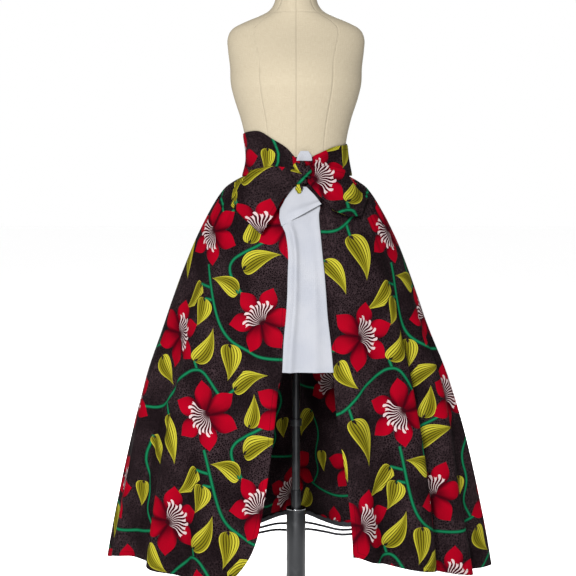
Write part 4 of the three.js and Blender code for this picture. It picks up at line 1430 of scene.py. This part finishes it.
for name, (start, end) in FACINGS.items():
    across, down = grid_shares(*FACING_GRID)
    wavy = OVERLOCK_HEIGHT * np.sin(across * OVERLOCK_PACE) * (1 - down)
    up = mix(FACING_UP + FACING_HEIGHT, FACING_UP, down) + wavy
    points = hem_point(mix(start, end, across), up, CLOTH + GAP + 0 * down)
    make_tape(name, points, TAPE_THICKNESS)

# %% [markdown]
# The hoops are a little stiff, so they follow the hem, but don't go all the way into the deep centre fold.
# They end near the outer tapes. Each tape is sewn to the facing and hangs straight down inside both hoops.

# %% Hoops and tapes
HOOP_GRID, TAPE_GRID = (300, 3), (6, 20)  # columns and rows
HOOP_HEIGHT = 6
HOOP_THICKNESS = 1.6
HOOPS = table("level flatter", (193, 64), (181, 88))  # flatter: how far out of the centre fold a hoop stays
HOOP_NAMES = ("hem_hoop_upper", "hem_hoop_lower")
CENTRE_FOLD_WIDTH = 50
WARP_HEIGHT, WARP_PACE = 0.5, 60
FRAME_COLUMNS = 22  # a back panel of the frame has this many columns: tapes and ends are placed by them
HOOP_END = 6
TAPES = {"hoop_tape_1": 6, "hoop_tape_2": 13, "hoop_tape_3": 31, "hoop_tape_4": 37}
TAPE_UP = 10
TAPE_BOTTOM = 177
TAPE_START = 3
TAPE_WIDTH = 7
SMALL_STEP = 0.01

for name, level, flatter in zip(HOOP_NAMES, *HOOPS.values()):
    across, down = grid_shares(*HOOP_GRID)
    hoop_end = HOOP_END / FRAME_COLUMNS
    points = hem_point(mix(hoop_end, 2.0 - hoop_end, across), 0.0, CLOTH + 0 * down)
    points[..., 1] -= flatter * bell(points[..., 0], CENTRE_FOLD_WIDTH)
    warped = WARP_HEIGHT * np.sin(across * WARP_PACE)
    points[..., 2] = level + mix(HOOP_HEIGHT / 2, -HOOP_HEIGHT / 2, down) + warped
    make_tape(name, points, HOOP_THICKNESS)

for name, column in TAPES.items():
    across, down = grid_shares(*TAPE_GRID)
    share = column / FRAME_COLUMNS + 0 * down
    inward = 2 * CLOTH + GAP + 0 * down
    here = hem_point(share, 0.0, inward)
    step = hem_point(share + SMALL_STEP, 0.0, inward) - here
    step = step / np.linalg.norm(step, axis=-1, keepdims=True)
    points = here + step * mix(TAPE_START, TAPE_START + TAPE_WIDTH, across)[..., None]
    points[..., 2] = mix(HEM_LEVEL + TAPE_UP, TAPE_BOTTOM, down)
    make_tape(name, points, TAPE_THICKNESS)

# %% [markdown]
# ## The dress form and its stand
# The form's cover is cut in panels, so seams run down its middle, its sides and over the bust. They are
# drawn by the edge map: it holds the distance from the nearest seam. The body is one closed skin.

# %% Dress form
SEAM_ANGLES = table(
    "z bust back",
    (TORSO_BOTTOM, 38, 148),
    (1050, 36, 150),
    (1150, 34, 152),
    (1300, 33, 146),
    (1400, 34, 140),
    (1480, 40, 136),
    (NECK_TOP, 45, 135),
)
NECK_SEAM = 1503
TORSO_COLUMNS = 240
TORSO_ROWS = 200


def seam_distance(angle, z):
    """How far a point of the form lies from its nearest seam, in metres."""
    radius = smooth_at(TORSO, "z", "half_width", z)
    bust = smooth_at(SEAM_ANGLES, "z", "bust", z)
    back = smooth_at(SEAM_ANGLES, "z", "back", z)
    seams = [0 * z, 180 + 0 * z, 90 + 0 * z, -90 + 0 * z, bust, -bust, back, -back]
    turns = np.min([np.abs(turn_between(angle, line)) for line in seams], axis=0)
    return np.minimum(np.radians(turns) * radius, np.abs(z - NECK_SEAM)) * MM


across, down = grid_shares(TORSO_COLUMNS, TORSO_ROWS)
angle, z = mix(-180, 180, across), mix(NECK_TOP, TORSO_BOTTOM, down)
torso_points = torso_point(angle, z, 0.0)
distance = seam_distance(angle, z)
torso_maps = {
    "Cloth": cloth_measure(torso_points, TORSO_COLUMNS // 2),
    "Edge": np.stack([distance, 0 * distance], axis=-1),
}
bm = sheet_mesh(torso_points, torso_maps, wrapped=True)
open_edges = [edge for edge in bm.edges if edge.is_boundary]
bmesh.ops.holes_fill(bm, edges=open_edges, sides=0)
link_mesh("torso_cover", bm, LINEN, "form", "torso")

# %% [markdown]
# Round pieces are turned on a lathe: a half outline is spun round the pole's axis. Each sharp edge then
# gets a small round, because no real edge is perfectly sharp, and a round one catches a line of light.

# %% Turned pieces
SPIN_STEPS = 96
SHARP = math.radians(25)


def turned_piece(name, outline, finish, body, middle_y=0.0, hollow=False, edge_round=0.8):
    bm = bmesh.new()
    ring = [bm.verts.new((radius * MM, 0, z * MM)) for radius, z in outline]
    pairs = list(zip(ring, ring[1:])) + ([(ring[-1], ring[0])] if hollow else [])
    profile = [bm.edges.new(pair) for pair in pairs]
    axis = {"cent": (0, 0, 0), "axis": (0, 0, 1), "angle": 2 * math.pi, "steps": SPIN_STEPS}
    bmesh.ops.spin(bm, geom=ring + profile, use_merge=True, **axis)
    bmesh.ops.remove_doubles(bm, verts=bm.verts, dist=0.00001)
    bmesh.ops.recalc_face_normals(bm, faces=bm.faces)
    sharp = [edge for edge in bm.edges if edge.calc_face_angle(0) > SHARP]
    rounding = {"affect": "EDGES", "segments": 3, "profile": 0.5, "material": -1}
    bmesh.ops.bevel(bm, geom=sharp, offset=edge_round * MM, **rounding)
    bmesh.ops.translate(bm, verts=bm.verts, vec=(0, middle_y * MM, 0))
    flat_map = bm.loops.layers.uv.new("Cloth")
    for face in bm.faces:
        for loop in face.loops:
            loop[flat_map].uv = (loop.vert.co.x, loop.vert.co.y)
    return link_mesh(name + "_turned", bm, finish, body, name)


def tube(bore, radius, bottom, top):
    return [(bore, bottom), (radius, bottom), (radius, top), (bore, top)]


def rod(radius, bottom, top):
    return [(0, bottom), (radius, bottom), (radius, top), (0, top)]


# %% [markdown]
# The stand is a heavy round plate with a boss, and a column that holds a sleeve. The pole slides in the
# sleeve and carries the form, so it rides with the form, as do its collar and the flange under the torso.

# %% Stand, pole and neck cap
SEAT = 0.3  # the air between two parts that rest on each other
BOSS_TOP = 30
COLUMN_TOP = 316
RING_HEIGHT = 3
POLE_RADIUS = 9.5
POLE_BORE = POLE_RADIUS + SEAT
FLANGE_HEIGHT = 6
FLANGE_BOTTOM = TORSO_BOTTOM - SEAT - FLANGE_HEIGHT

BASE = table(
    "radius z",
    (0, 0),
    (196, 0),
    (200, 4),
    (200, 10),
    (196, 14),
    (60, 16.5),
    (44, 18),
    (38, 22),
    (36, BOSS_TOP),
    (0, BOSS_TOP),
)
RING_BOTTOM = COLUMN_TOP + SEAT
COLUMN = tube(bore=16, radius=23, bottom=BOSS_TOP + SEAT, top=COLUMN_TOP)
RING = tube(bore=12.3, radius=24, bottom=RING_BOTTOM, top=RING_BOTTOM + RING_HEIGHT)
SLEEVE = tube(bore=POLE_BORE, radius=12, bottom=250, top=361)
COLLAR = tube(bore=POLE_BORE, radius=14, bottom=516, top=532)
FLANGE = rod(radius=34, bottom=FLANGE_BOTTOM, top=FLANGE_BOTTOM + FLANGE_HEIGHT)
turned_piece("base_disc", list(zip(*BASE.values())), DARK_METAL, "stand", edge_round=1.5)
turned_piece("column", COLUMN, DARK_METAL, "stand", hollow=True)
turned_piece("column_ring", RING, BRIGHT_METAL, "stand", hollow=True)
turned_piece("sleeve", SLEEVE, DARK_METAL, "stand", hollow=True, edge_round=0.5)
turned_piece("pole", rod(POLE_RADIUS, bottom=165, top=FLANGE_BOTTOM - SEAT), DARK_METAL, "form")
turned_piece("pole_collar", COLLAR, DARK_METAL, "form", hollow=True)
turned_piece("pole_flange", FLANGE, DARK_METAL, "form")

CAP_MIDDLE_Y = -4
CAP_BOTTOM = NECK_TOP + SEAT
CAP = [(0, CAP_BOTTOM), (44, CAP_BOTTOM), (45, 1582), (43, 1586), (0, 1586)]
turned_piece("neck_cap", CAP, CAP_LINEN, "form", middle_y=CAP_MIDDLE_Y)
